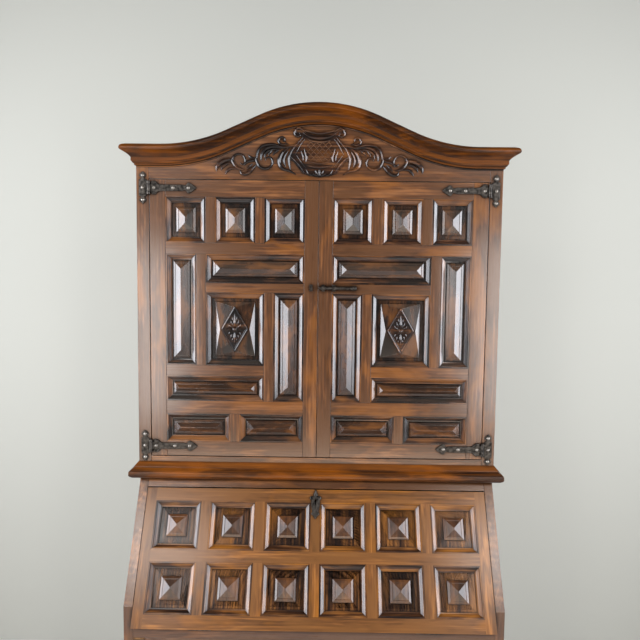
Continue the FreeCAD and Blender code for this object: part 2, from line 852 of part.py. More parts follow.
def strap_outline(height):
    """The strap runs inwards from the knuckle: wide root, narrow bar and arrow head."""
    start = opening_half - knuckle_radius - knuckle_seat
    root_end = start - strap_root_half
    head_start = start - strap_length + strap_head_length
    tip = start - strap_length
    upper = [(start, knuckle_half), (start - knuckle_seat, strap_root_half), (root_end, strap_neck_half),
             (head_start, strap_neck_half), (head_start, strap_head_half)]
    lower = [(x, -y) for x, y in upper[::-1]]
    return [(x, height + y) for x, y in upper + [(tip, 0.0)] + lower]


def strap(height):
    """A strap with its knuckle, bored for the hinge pin."""
    plate = outline_plate(strap_outline(height), strap_thickness)
    tab = box(opening_half - knuckle_radius - 2 * knuckle_seat, opening_half, height - knuckle_half,
              height + knuckle_half, slide_gap, strap_thickness)
    axis_foot = Vector(opening_half, height - knuckle_half, knuckle_stand_off)
    knuckle = Part.makeCylinder(knuckle_radius, 2 * knuckle_half, axis_foot, Vector(0, 1, 0))
    bore = Part.makeCylinder(hinge_pin_radius + turning_gap, 2 * knuckle_half, axis_foot, Vector(0, 1, 0))
    return fused([plate, tab, knuckle]).cut(bore)


def leaf_outline(height):
    inner = opening_half + knuckle_radius + knuckle_seat
    middle = inner + leaf_width / 2
    neck = leaf_width * leaf_neck_share
    shoulder = leaf_half_height - leaf_width
    right = [(middle + leaf_width / 2, knuckle_total_half), (middle + neck, shoulder),
             (middle + leaf_width / 2, shoulder), (middle, leaf_half_height)]
    left = [(2 * middle - x, y) for x, y in right[:-1]][::-1]
    upper = right + left
    lower = [(x, -y) for x, y in upper[::-1]]
    return [(x, height + y) for x, y in upper + lower]


def fixed_leaf(height):
    """The leaf on the stile, with the end knuckles and the pin."""
    pieces = [outline_plate(leaf_outline(height), strap_thickness)]
    for low in (-knuckle_total_half, knuckle_half + turning_gap):
        length = knuckle_total_half - knuckle_half - turning_gap
        foot = Vector(opening_half, height + low, knuckle_stand_off)
        pieces.append(Part.makeCylinder(knuckle_radius, length, foot, Vector(0, 1, 0)))
        pieces.append(box(opening_half, opening_half + knuckle_radius + 2 * knuckle_seat, height + low,
                          height + low + length, 0, strap_thickness))
    pin_foot = Vector(opening_half, height - knuckle_total_half, knuckle_stand_off)
    pieces.append(Part.makeCylinder(hinge_pin_radius, 2 * knuckle_total_half, pin_foot, Vector(0, 1, 0)))
    return fused(pieces)


def staple(x, bore_radius):
    """A bridge that the bolt slides through."""
    block = box(x - staple_half_width, x + staple_half_width, bolt_height - staple_half_height,
                bolt_height + staple_half_height, 0, staple_rise)
    hole = Part.makeCylinder(bore_radius, 2 * staple_half_width,
                             Vector(x - staple_half_width, bolt_height, bolt_stand_off), Vector(1, 0, 0))
    return block.cut(hole)


def hinge_nails(height):
    start = opening_half - knuckle_radius - knuckle_seat
    head = start - strap_length + strap_head_length / 2
    middle = start - strap_length / 2
    return [nail(x, height, strap_thickness) for x in (start - strap_root_half / 2, middle, head)]


def leaf_nails(height):
    x = opening_half + knuckle_radius + knuckle_seat + leaf_width / 2
    reach = leaf_half_height - leaf_width / 2
    return [nail(x, height + offset, strap_thickness) for offset in (-reach, 0.0, reach)]


def export_door_iron():
    straps = []
    leaves = []
    for height in (upper_hinge_height, lower_hinge_height):
        straps += [strap(height)] + hinge_nails(height)
        leaves += [fixed_leaf(height)] + leaf_nails(height)
    hole_radius = bolt_radius + turning_gap
    staples = [staple(first_staple + index * staple_spacing, hole_radius) for index in (0, 1)]
    keeper = [staple(-keeper_place, hole_radius + turning_gap)]
    export("door_right_ironwork", stand(straps + staples, door_origin()))
    left = [mirrored(piece) for piece in straps]
    export("door_left_ironwork", stand(left + keeper, door_origin()))
    placed = stand(both_sides(leaves), door_origin())
    export("fixed_hinge_leaves", placed + flap_fixed_leaves())
    rod = Part.makeCylinder(bolt_radius, bolt_length, Vector(bolt_start, bolt_height, bolt_stand_off),
                            Vector(1, 0, 0))
    knob = Part.makeCylinder(bolt_knob_radius, bolt_knob_length,
                             Vector(bolt_start + bolt_length - bolt_knob_length, bolt_height,
                                    bolt_stand_off + bolt_knob_lift), Vector(1, 0, 0))
    export("door_bolt_rod", stand([fused([rod, knob])], door_origin()))


# Fall, laid out flat: Y up from its foot, its outer face at Z = 0
def fall_origin():
    return Vector(0, fall_axis_y - fall_thickness * cos_tilt, writing_height + fall_thickness * sin_tilt)


def fall_rows():
    low = fall_bottom_rail
    return [low, low + fall_coffer_height + fall_mid_rail]


def fall_fields():
    span = fall_columns * fall_coffer_width + (fall_columns - 1) * fall_muntin
    fields = []
    for y in fall_rows():
        for column in range(fall_columns):
            x = column * (fall_coffer_width + fall_muntin) - span / 2
            fields.append((x, y, x + fall_coffer_width, y + fall_coffer_height))
    return fields


def fall_members():
    span = fall_columns * fall_coffer_width + (fall_columns - 1) * fall_muntin
    low, high = fall_rows()
    top = high + fall_coffer_height
    members = [(-fall_half_width, 0.0, -span / 2, fall_length),
               (span / 2, 0.0, fall_half_width, fall_length),
               (-span / 2, 0.0, span / 2, low), (-span / 2, low + fall_coffer_height, span / 2, high),
               (-span / 2, top, span / 2, fall_length)]
    for y in (low, high):
        for column in range(1, fall_columns):
            x = column * (fall_coffer_width + fall_muntin) - span / 2
            members.append((x - fall_muntin, y, x, y + fall_coffer_height))
    return members


def lock_bolt_floor():
    """How deep the lock bolt's inner side lies, measured from the fall's face."""
    return -fall_thickness + lock_depth / 2 - lock_bolt_thickness / 2


def lock_channel():
    """The space that the bolt runs in, out through the fall's top edge."""
    low = lock_bolt_floor() - slide_gap / 2
    foot = fall_length - lock_bolt_length - 2 * slide_gap
    return box(-lock_bolt_half_width - slide_gap / 2, lock_bolt_half_width + slide_gap / 2, foot,
               fall_length + overrun, low, low + lock_bolt_thickness + slide_gap)


def lock_case_block():
    top = fall_length - lock_top_margin
    return box(-lock_half_width, lock_half_width, top - lock_height, top,
               -fall_thickness, lock_depth - fall_thickness)


def fall_frame():
    """Stiles, rails and muntins, let in at the back for the lock and the hinges."""
    members = [slab(member, fall_thickness) for member in fall_members()]
    bottom = members[2]
    for place in (-flap_place, flap_place):
        bottom = bottom.cut(flap_leaf_space(place))
        bottom = bottom.cut(Part.makeCylinder(flap_barrel_radius + swing_gap, 2 * flap_half_length,
                                              Vector(place - flap_half_length, 0, -fall_thickness),
                                              Vector(1, 0, 0)))
    members[2] = bottom
    members[4] = members[4].cut(lock_case_block()).cut(lock_channel())
    for index in range(len(members)):
        if members[index].common(lock_case_block()).Volume > 0:
            members[index] = members[index].cut(lock_case_block())
    return members


def flap_leaf_space(place):
    return box(place - flap_half_length, place + flap_half_length, -overrun, flap_leaf_depth,
               -fall_thickness - overrun, flap_leaf_thickness - fall_thickness)


def flap_moving_leaf(place):
    """The hinge leaf on the fall, with the middle knuckle."""
    leaf = box(place - flap_half_length, place + flap_half_length, flap_barrel_radius + swing_gap,
               flap_leaf_depth, -fall_thickness, flap_leaf_thickness - fall_thickness)
    tab = box(place - flap_knuckle_half, place + flap_knuckle_half, 0, flap_leaf_depth / 2,
              -fall_thickness, flap_leaf_thickness - fall_thickness)
    foot = Vector(place - flap_knuckle_half, 0, -fall_thickness)
    knuckle = Part.makeCylinder(flap_barrel_radius, 2 * flap_knuckle_half, foot, Vector(1, 0, 0))
    bore = Part.makeCylinder(flap_pin_radius + turning_gap, 2 * flap_knuckle_half, foot, Vector(1, 0, 0))
    return fused([leaf, tab, knuckle]).cut(bore)


def flap_fixed_leaves():
    """The hinge leaves on the writing board, each with its end knuckles and pin."""
    leaves = []
    for place in (-flap_place, flap_place):
        low = writing_height - flap_leaf_thickness
        pieces = [box(place - flap_half_length, place + flap_half_length,
                      fall_axis_y + flap_barrel_radius + swing_gap,
                      lower_front + flap_leaf_depth, low, writing_height)]
        end_length = flap_half_length - flap_knuckle_half - turning_gap
        for x in (place - flap_half_length, place + flap_knuckle_half + turning_gap):
            pieces.append(box(x, x + end_length, fall_axis_y, lower_front + flap_leaf_depth / 2,
                              low, writing_height))
            pieces.append(Part.makeCylinder(flap_barrel_radius, end_length,
                                            Vector(x, fall_axis_y, writing_height), Vector(1, 0, 0)))
        pieces.append(Part.makeCylinder(flap_pin_radius, 2 * flap_half_length,
                                        Vector(place - flap_half_length, fall_axis_y, writing_height),
                                        Vector(1, 0, 0)))
        leaves.append(fused(pieces))
    return leaves


def keyhole(x, y):
    eye = Part.makeCylinder(keyhole_radius, 2 * overrun, Vector(x, y, -overrun))
    slot = box(x - keyhole_slot_half, x + keyhole_slot_half, y - keyhole_slot_length, y, -overrun, overrun)
    return fused([eye, slot])


def escutcheon(x, y):
    """An iron key plate with a lobe above and below its waist."""
    lobe = escutcheon_width / 2
    reach = escutcheon_height / 2 - lobe
    pieces = [Part.makeCylinder(lobe, escutcheon_thickness, Vector(x, y + side * reach, 0))
              for side in (-1, 1)]
    waist = lobe * escutcheon_waist_share
    pieces.append(box(x - waist, x + waist, y - reach, y + reach, 0, escutcheon_thickness))
    return fused(pieces).cut(keyhole(x, y + keyhole_rise))


def export_fall():
    origin = fall_origin()
    plate_y = fall_length - escutcheon_height / 2
    key_y = plate_y + keyhole_rise
    fields = fall_fields()
    strips = []
    for field in fields:
        strips += coffer_strips(field)
    frame = [member.cut(keyhole(0.0, key_y)) for member in fall_frame()]
    panels = [raised_panel(field, fall_thickness, fall_margin) for field in fields]
    panels = [panel.cut(lock_case_block()) for panel in panels]
    bolt = box(-lock_bolt_half_width, lock_bolt_half_width, fall_length - lock_bolt_length - slide_gap,
               fall_length - slide_gap, lock_bolt_floor(), lock_bolt_floor() + lock_bolt_thickness)
    case = lock_case_block().cut(lock_channel()).cut(keyhole(0.0, key_y))
    pieces = {"fall_frame": frame,
              "fall_panels": panels,
              "fall_mouldings": strips,
              "fall_escutcheon": [escutcheon(0.0, plate_y)],
              "fall_lock_case": [case],
              "fall_lock_bolt": [bolt],
              "fall_hinge_flaps": [flap_moving_leaf(place) for place in (-flap_place, flap_place)]}
    for name, shapes in pieces.items():
        export(name, stand(shapes, origin, slope_angle))


# Drawers, their fronts laid out flat with Y up from the front's foot
def drawer_front_height():
    return drawer_opening - 2 * drawer_gap


def pull_places():
    """How far the two pulls stand from the drawer's middle."""
    return drawer_lock_muntin / 2 + drawer_field_width() + drawer_pull_muntin / 2


def drawer_field_width():
    half = inner_half - drawer_gap
    return (half - drawer_stile - drawer_pull_muntin - drawer_lock_muntin / 2) / 2


def drawer_front():
    half = inner_half - drawer_gap
    height = drawer_front_height()
    low = drawer_rail
    high = height - drawer_rail
    width = drawer_field_width()
    near = drawer_lock_muntin / 2
    far = near + width + drawer_pull_muntin
    fields = [(near, low, near + width, high), (far, low, far + width, high)]
    fields += [(-x1, y0, -x0, y1) for x0, y0, x1, y1 in fields]
    members = [(-half, 0.0, half, low), (-half, high, half, height), (-near, low, near, high)]
    for x0, x1 in ((near + width, far), (far + width, half)):
        members += [(x0, low, x1, high), (-x1, low, -x0, high)]
    pieces = [slab(member, drawer_front_thickness) for member in members]
    for field in fields:
        pieces.append(raised_panel(field, drawer_front_thickness, ridge_margin))
        pieces += coffer_strips(field)
    return pieces


def drawer_box(floor_z):
    """Sides, back and bottom behind a drawer front."""
    x1 = inner_half - drawer_gap
    z0 = floor_z + slide_gap
    z1 = z0 + drawer_opening - drawer_box_drop
    front = lower_front + drawer_front_thickness
    end = lower_front + drawer_length
    wall = drawer_box_board
    bottom = z0 + drawer_bottom_rise
    return [box(-x1, wall - x1, front, end, z0, z1), box(x1 - wall, x1, front, end, z0, z1),
            box(wall - x1, x1 - wall, end - wall, end, z0, z1),
            box(wall - x1, x1 - wall, front, end - wall, bottom, bottom + drawer_bottom_board)]


def pull_plate(x, y):
    """A lobed plate with two ears and the pin that the drop hangs on."""
    lobe = pull_plate_half_width
    reach = pull_plate_half_height - lobe * pull_lobe_share
    pieces = [Part.makeCylinder(lobe, pull_plate_thickness, Vector(x, y, 0))]
    for side in (-1, 1):
        pieces.append(Part.makeCylinder(lobe * pull_lobe_share, pull_plate_thickness,
                                        Vector(x, y + side * reach, 0)))
    axis_y = y + pull_axis_rise
    for x0 in (x - drop_eye_half - turning_gap - pull_ear_thickness, x + drop_eye_half + turning_gap):
        pieces.append(Part.makeCylinder(pull_ear_radius, pull_ear_thickness,
                                        Vector(x0, axis_y, pull_stand_off), Vector(1, 0, 0)))
        pieces.append(box(x0, x0 + pull_ear_thickness, axis_y - pull_ear_radius, axis_y + pull_ear_radius,
                          0, pull_stand_off))
    ear_span = drop_eye_half + turning_gap + pull_ear_thickness
    pieces.append(Part.makeCylinder(pull_pin_radius, 2 * ear_span,
                                    Vector(x - ear_span, axis_y, pull_stand_off), Vector(1, 0, 0)))
    return fused(pieces)


def pull_drop(x, y):
    """A solid iron teardrop under a bored eye."""
    axis_y = y + pull_axis_rise
    eye_foot = Vector(x - drop_eye_half, axis_y, pull_stand_off)
    eye = Part.makeCylinder(pull_ear_radius, 2 * drop_eye_half, eye_foot, Vector(1, 0, 0))
    bore = Part.makeCylinder(pull_pin_radius + turning_gap, 2 * drop_eye_half, eye_foot, Vector(1, 0, 0))
    neck = drop_eye_half * drop_neck_share
    top = Vector(x, axis_y - pull_pin_radius - turning_gap - neck / 2, pull_stand_off)
    belly_y = axis_y - drop_length + drop_radius
    tip = Vector(x, axis_y - drop_length, pull_stand_off)
    outline = Part.Wire([Part.makeLine(top, top + Vector(neck, 0, 0)),
                         Part.makeLine(top + Vector(neck, 0, 0),
                                       Vector(x + drop_radius, belly_y, pull_stand_off)),
                         Part.Arc(Vector(x + drop_radius, belly_y, pull_stand_off),
                                  Vector(x + drop_radius * math.sqrt(0.5),
                                         belly_y - drop_radius * math.sqrt(0.5), pull_stand_off),
                                  tip).toShape(),
                         Part.makeLine(tip, top)])
    body = Part.Face(outline).revolve(tip, Vector(0, 1, 0), 360)
    return fused([body, eye]).cut(bore)


def export_drawers():
    for index, name in enumerate(("bottom", "middle", "top")):
        floor_z = drawer_floor(index)
        origin = Vector(0, lower_front, floor_z + drawer_gap)
        label = "drawer_" + name + "_"
        export(label + "front", stand(drawer_front(), origin))
        export(label + "box", drawer_box(floor_z))
        middle = drawer_front_height() / 2
        place = pull_places()
        export(label + "pull_plates", stand([pull_plate(-place, middle), pull_plate(place, middle)], origin))
        export(label + "drop_left", stand([pull_drop(-place, middle)], origin))
        export(label + "drop_right", stand([pull_drop(place, middle)], origin))


# Carved frieze, laid out flat with X from the middle and Y from the doors' head
def blade(start, end, half):
    """A pointed leaf between two places."""
    a = Vector(start[0], start[1], 0)
    b = Vector(end[0], end[1], 0)
    across = (b - a).cross(Vector(0, 0, 1)).normalize() * half
    middle = (a + b) / 2
    wire = Part.Wire([Part.Arc(a, middle + across, b).toShape(), Part.Arc(b, middle - across, a).toShape()])
    return Part.Face(wire).extrude(Vector(0, 0, carving_relief))


def volute(x, y, radius):
    outer = Part.makeCylinder(radius, carving_relief, Vector(x, y, 0))
    hollow = Part.makeCylinder(radius - volute_rim, carving_relief, Vector(x, y, 0))
    bud = Part.makeCylinder((radius - volute_rim) / 2, carving_relief, Vector(x, y, 0))
    root = box(x - stem_half, x + stem_half, y, y + radius - stem_half, 0, carving_relief)
    return fused([outer.cut(hollow), bud, root])


def cartouche():
    """A shield with a hollow crest, a rounded foot and a scallop below."""
    half = cartouche_half_width
    neck = half * cartouche_foot_share
    crest = Part.Arc(Vector(-half, cartouche_top, 0), Vector(0, cartouche_top - shell_radius / 2, 0),
                     Vector(half, cartouche_top, 0))
    right = Part.Arc(Vector(half, cartouche_top, 0), Vector(half + volute_rim, (cartouche_top
                     + cartouche_bottom) / 2, 0), Vector(neck, cartouche_bottom, 0))
    foot = Part.LineSegment(Vector(neck, cartouche_bottom, 0), Vector(-neck, cartouche_bottom, 0))
    left = Part.Arc(Vector(-neck, cartouche_bottom, 0), Vector(-half - volute_rim, (cartouche_top
                    + cartouche_bottom) / 2, 0), Vector(-half, cartouche_top, 0))
    wire = Part.Wire([piece.toShape() for piece in (crest, right, foot, left)])
    return Part.Face(wire).extrude(Vector(0, 0, cartouche_relief))


def pediment_carving():
    across = carving_half_width
    up = cartouche_top
    half_sprays = [volute(x * across, y * up, radius * up) for x, y, radius in volute_shares]
    for start, end, half in leaf_shares:
        half_sprays.append(blade((start[0] * across, start[1] * up), (end[0] * across, end[1] * up),
                                 half * up))
    whole = fused([cartouche()] + both_sides(half_sprays))
    return stand(whole.Solids, door_origin() + Vector(0, 0, door_height))


def main():
    os.makedirs("parts", exist_ok=True)
    left_and_right = {"lower_side": lower_side(), "upper_side": upper_side(), "loper": loper()}
    for name, shape in left_and_right.items():
        export(name + "_right", [shape])
        export(name + "_left", [mirrored(shape)])
    export("gallery_drawer_right", gallery_drawer())
    export("gallery_drawer_left", [mirrored(piece) for piece in gallery_drawer()])
    export("lower_back", [box(-inner_half, inner_half, inner_rear, rear, foot_height, joint_z)])
    desk_top = [(slope_y(desk_ceiling), desk_ceiling), (slope_y(joint_z), joint_z), (inner_rear, joint_z),
                (inner_rear, desk_ceiling)]
    export("desk_top_board", [prism_yz(desk_top, -inner_half, inner_half)])
    export("slope_rail", [slope_rail()])
    export("desk_floor", [desk_floor()])
    export("drawer_rails", drawer_rails())
    export("drawer_runners", drawer_runners())
    export("bun_feet", bun_feet())
    export("plinth_moulding", plinth_moulding())
    export("waist_moulding", waist_moulding())
    export("gallery_case", gallery_case())
    cupboard_front = upper_front + face_board
    export("upper_back", [box(-inner_half, inner_half, inner_rear, rear, joint_z, upper_top_z)])
    export("upper_floor_board", [box(-inner_half, inner_half, cupboard_front, inner_rear, joint_z,
                                     joint_z + top_board)])
    export("upper_top_board", [box(-inner_half, inner_half, cupboard_front, inner_rear,
                                   upper_top_z - top_board, upper_top_z)])
    export("upper_shelves", upper_shelves())
    export("face_frame", face_frame())
    export("frieze_board", [frieze_board()])
    export("cornice", cornice())
    export("pediment_carving", pediment_carving())
    export_doors()
    export_door_iron()
    export_fall()
    export_drawers()


main()
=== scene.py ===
"""Looks of a walnut bureau cabinet: waxed boards, carved frieze, forged iron and the room around it."""

import logging
import math
import random
from contextlib import contextmanager
from dataclasses import dataclass, field
from enum import Enum
from typing import Iterable, Iterator, Sequence

import bpy
from mathutils import Matrix, Vector


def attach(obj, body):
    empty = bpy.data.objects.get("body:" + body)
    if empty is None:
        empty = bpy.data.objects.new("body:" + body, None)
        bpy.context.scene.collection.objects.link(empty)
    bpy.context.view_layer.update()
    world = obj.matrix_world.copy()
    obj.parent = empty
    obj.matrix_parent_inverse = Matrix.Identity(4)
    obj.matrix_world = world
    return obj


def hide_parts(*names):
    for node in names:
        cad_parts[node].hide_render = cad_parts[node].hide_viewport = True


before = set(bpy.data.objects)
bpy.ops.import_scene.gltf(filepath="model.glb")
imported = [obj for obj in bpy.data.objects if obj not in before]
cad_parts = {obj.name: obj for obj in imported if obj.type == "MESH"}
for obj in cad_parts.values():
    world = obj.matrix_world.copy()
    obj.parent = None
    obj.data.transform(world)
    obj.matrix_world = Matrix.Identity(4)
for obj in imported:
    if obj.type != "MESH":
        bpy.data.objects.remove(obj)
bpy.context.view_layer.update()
MM = 0.001
MERGE = 0.01  # millimetres between corners that are one
GRAIN_SHIFT = 5.0  # metres either way, so that no two boards are cut from the same place of a plank
LOG = logging.getLogger("cabinet")

Outline = Sequence[tuple[float, float]]
Place = tuple[float, float, float]

FALL_LEAN = math.radians(29.6)
ACROSS = Vector((1, 0, 0))
OUTWARD = Vector((0, -1, 0))
UPRIGHT = Vector((0, 0, 1))
SLANT_UP = Vector((0, math.sin(FALL_LEAN), math.cos(FALL_LEAN)))
SLANT_OUT = Vector((0, -math.cos(FALL_LEAN), math.sin(FALL_LEAN)))
MIRROR = Matrix.Scale(-1, 4, ACROSS)
LYING = Matrix.Rotation(math.pi / 2, 4, "Y")
STANDING = Matrix.Rotation(-math.pi / 2, 4, "X")

# Places on the cabinet, in millimetres. Heights of hinges and bolt are from the doors' foot, and what is
# "out" is off the doors' face.
FRONT_Y = -60.393
DOOR_FOOT = 1149.736
DOOR_HEAD = 1917.736
FALL_FOOT = Vector((0, -241.685, 744.818))
FALL_LENGTH = 359.54
FALL_AXIS = Vector((0, -215.6, 730.0))
FLAP_PLACES = (-300.0, 300.0)
HINGE_X = 465.0
HINGE_HEIGHTS = (28.0, 745.0)
PIN_OUT = 5.0
BOLT_HEIGHT = 476.5
BOLT_OUT = 6.4
KEYHOLE_DROP = 32.0
KNOB_LENGTH = 14.0
FOOT_PLACES = ((-448.0, -163.0), (448.0, -163.0), (-448.0, 193.0), (448.0, 193.0))

# Section of a carved ridge whose half width is one
RIDGE = ((-1.0, 0.0), (-0.86, 0.62), (-0.3, 0.98), (0.0, 1.2), (0.3, 0.98), (0.86, 0.62), (1.0, 0.0))


class Stand(Enum):
    """Which way a group of boards stands: its three directions in the cabinet."""

    SQUARE = (ACROSS, OUTWARD, UPRIGHT)
    SLANTED = (ACROSS, SLANT_OUT, SLANT_UP)


def linear(colour: str) -> tuple[float, float, float, float]:
    """Turns an sRGB hex colour to linear light.

    Args:
        colour: Six hex digits after a hash.

    Returns:
        Red, green, blue and an alpha of one.
    """
    parts = [int(colour[i:i + 2], 16) / 255 for i in (1, 3, 5)]
    light = [p / 12.92 if p <= 0.04045 else ((p + 0.055) / 1.055) ** 2.4 for p in parts]
    return (*light, 1.0)


def add_node(tree: bpy.types.NodeTree, kind: str, inputs: dict | None = None, **settings) -> bpy.types.Node:
    """Adds a shader node with its settings and links.

    Args:
        tree: The material's node tree.
        kind: The node's type name, without the ShaderNode that all of them begin with.
        inputs: Socket name or index to a value, or to the socket that feeds it.
        **settings: The node's own properties.

    Returns:
        The new node.
    """
    node = tree.nodes.new(f"ShaderNode{kind}")
    for name, value in settings.items():
        setattr(node, name, value)
    for name, value in (inputs or {}).items():
        if isinstance(value, bpy.types.NodeSocket):
            tree.links.new(value, node.inputs[name])
        else:
            node.inputs[name].default_value = value
    return node


def blank_material(name: str) -> tuple[bpy.types.Material, bpy.types.NodeTree]:
    """Makes an empty node material.

    Args:
        name: What the finish is.

    Returns:
        The material and its node tree.
    """
    material = bpy.data.materials.new(name)
    material.use_nodes = True
    material.node_tree.nodes.clear()
    return material, material.node_tree


@dataclass(frozen=True)
class WalnutFinish:
    """Old walnut, planed and waxed by hand: satin, blotched by patina, and darkened in its corners by painted
    shade.

    The boards carry three attributes: "grain" is metres along the grain, across it and through it, "tone" is
    how pale the board is, and "worn" marks what hands have rubbed. A stretch is how many times longer than
    wide a figure is. Real walnut's lines and pores are under a millimetre wide: they are drawn coarser, so
    that they show from where the photograph was taken.
    """

    name: str
    light: str = "#875a38"
    middle: str = "#472a1b"
    dark: str = "#140a06"
    patina: str = "#120c0b"
    amber: str = "#8a5524"
    contrast: float = 0.8
    patina_share: float = 0.95
    amber_share: float = 0.72
    line_share: float = 0.34
    band_share: float = 0.1
    coat: float = 0.95
    shine: float = 0.15
    roughness: float = 0.27
    worn_share: float = 0.45
    patina_range: tuple[float, float] = (0.46, 0.6)
    amber_range: tuple[float, float] = (0.48, 0.35)
    worn_range: tuple[float, float] = (0.35, 0.6)
    tone_gain: float = 0.7
    tone_least: float = 0.68
    line_mm: float = 2.6
    line_stretch: float = 30.0
    figure_mm: float = 15.0
    figure_stretch: float = 12.0
    band_stretch: float = 9.0
    figure_middle: float = 0.55
    figure_spread: float = 0.16
    blotch_mm: float = 135.0
    pore_mm: float = 1.6
    pore_stretch: float = 22.0
    pore_depth_mm: float = 0.15
    # How far from a corner the painted shade reaches, and how steeply it deepens
    shade_reach_mm: float = 13.0
    shade_power: float = 2.7

    def material(self) -> bpy.types.Material:
        """Builds the finish.

        Returns:
            The material.
        """
        material, tree = blank_material(self.name)
        grain = add_node(tree, "Attribute", attribute_name="grain").outputs["Vector"]
        tone = add_node(tree, "Attribute", attribute_name="tone").outputs["Fac"]
        worn = add_node(tree, "Attribute", attribute_name="worn").outputs["Fac"]

        def stretched(length_mm: float, width_mm: float) -> bpy.types.NodeSocket:
            """Coordinates in which a figure of that length and width is one unit."""
            scale = (1 / (length_mm * MM), 1 / (width_mm * MM), 1 / (width_mm * MM))
            return add_node(tree, "VectorMath", {0: grain, 1: scale}, operation="MULTIPLY").outputs[0]

        def noise(vector: bpy.types.NodeSocket, distortion: float) -> bpy.types.NodeSocket:
            """Soft noise on those coordinates."""
            return add_node(tree, "TexNoise", {"Vector": vector, "Scale": 1.0, "Detail": 3.0,
                                               "Roughness": 0.6, "Distortion": distortion}).outputs["Fac"]

        # The wood's own figure, with its fine lines and faint bands
        figure = noise(stretched(self.figure_mm * self.figure_stretch, self.figure_mm), 0.7)
        lines = noise(stretched(self.line_mm * self.line_stretch, self.line_mm), 0.4)
        bands = add_node(tree, "TexWave", {
            "Vector": stretched(self.figure_mm * self.band_stretch, self.figure_mm), "Scale": 0.5,
            "Distortion": 4.0, "Detail": 2.0, "Detail Scale": 0.7, "Detail Roughness": 0.5,
        }, bands_direction="Y").outputs["Fac"]
        drawn = add_node(tree, "Math", {0: lines, 1: self.line_share, 2: figure},
                         operation="MULTIPLY_ADD").outputs[0]
        mixed = add_node(tree, "Math", {0: bands, 1: self.band_share, 2: drawn},
                         operation="MULTIPLY_ADD").outputs[0]
        usual, spread = self.figure_middle + self.line_share / 2, self.figure_spread / self.contrast
        shade = add_node(tree, "MapRange", {"Value": mixed, "From Min": usual - spread,
                                            "From Max": usual + spread}).outputs[0]
        wood = add_node(tree, "ValToRGB", {"Fac": shade})
        ramp = wood.color_ramp
        ramp.elements[0].color = linear(self.dark)
        ramp.elements[1].color = linear(self.light)
        ramp.elements.new(0.5).color = linear(self.middle)

        # Patches of amber and of near-black patina, and rubbed edges
        blotch = noise(stretched(self.blotch_mm * 1.7, self.blotch_mm * 0.7), 0.3)
        patina, glow, scuff = (
            add_node(tree, "MapRange", {"Value": blotch, "From Min": none, "From Max": full,
                                        "To Max": most}).outputs[0]
            for (none, full), most in ((self.patina_range, self.patina_share),
                                       (self.amber_range, self.amber_share),
                                       (self.worn_range, self.worn_share)))
        warm = add_node(tree, "Mix", {"Factor": glow, 6: wood.outputs["Color"], 7: linear(self.amber)},
                        data_type="RGBA").outputs[2]
        stained = add_node(tree, "Mix", {"Factor": patina, 6: warm, 7: linear(self.patina)},
                           data_type="RGBA").outputs[2]
        lift = add_node(tree, "Math", {0: tone, 1: self.tone_gain, 2: self.tone_least},
                        operation="MULTIPLY_ADD").outputs[0]
        toned = add_node(tree, "HueSaturation", {"Value": lift, "Color": stained}).outputs[0]
        rub_share = add_node(tree, "Math", {0: worn, 1: scuff}, operation="MULTIPLY").outputs[0]
        edged = add_node(tree, "Mix", {"Factor": rub_share, 6: toned, 7: linear(self.light)},
                         data_type="RGBA").outputs[2]

        # Painted shade darkens the corners and creases, standing in for their shadow as well as grime, and
        # the wax shines less there
        corner = add_node(tree, "AmbientOcclusion", {"Distance": self.shade_reach_mm * MM}, samples=8)
        unshaded = add_node(tree, "Math", {0: corner.outputs["AO"], 1: self.shade_power},
                         operation="POWER").outputs[0]
        painted_shade = add_node(tree, "MapRange", {"Value": unshaded, "To Min": 0.01, "To Max": 1.0}).outputs[0]
        # Painted shade: the colour is scaled down where the corners are occluded
        colour = add_node(tree, "VectorMath", {0: edged, "Scale": painted_shade}, operation="SCALE").outputs[0]
        wax = add_node(tree, "Math", {0: unshaded, 1: self.coat}, operation="MULTIPLY").outputs[0]

        pores = noise(stretched(self.pore_mm * self.pore_stretch, self.pore_mm), 0.0)
        relief = add_node(tree, "Bump", {"Height": pores, "Strength": 0.5,
                                         "Distance": self.pore_depth_mm * MM})
        rough = add_node(tree, "MapRange", {"Value": lines, "From Min": 0.35, "From Max": 0.65,
                                            "To Min": self.roughness + 0.12,
                                            "To Max": self.roughness - 0.06}).outputs[0]
        shader = add_node(tree, "BsdfPrincipled", {
            "Base Color": colour, "Roughness": rough, "Normal": relief.outputs[0], "IOR": 1.5,
            "Specular IOR Level": self.shine, "Coat Weight": wax, "Coat Roughness": 0.2, "Coat IOR": 1.75})
        add_node(tree, "OutputMaterial", {"Surface": shader.outputs[0]})
        return material


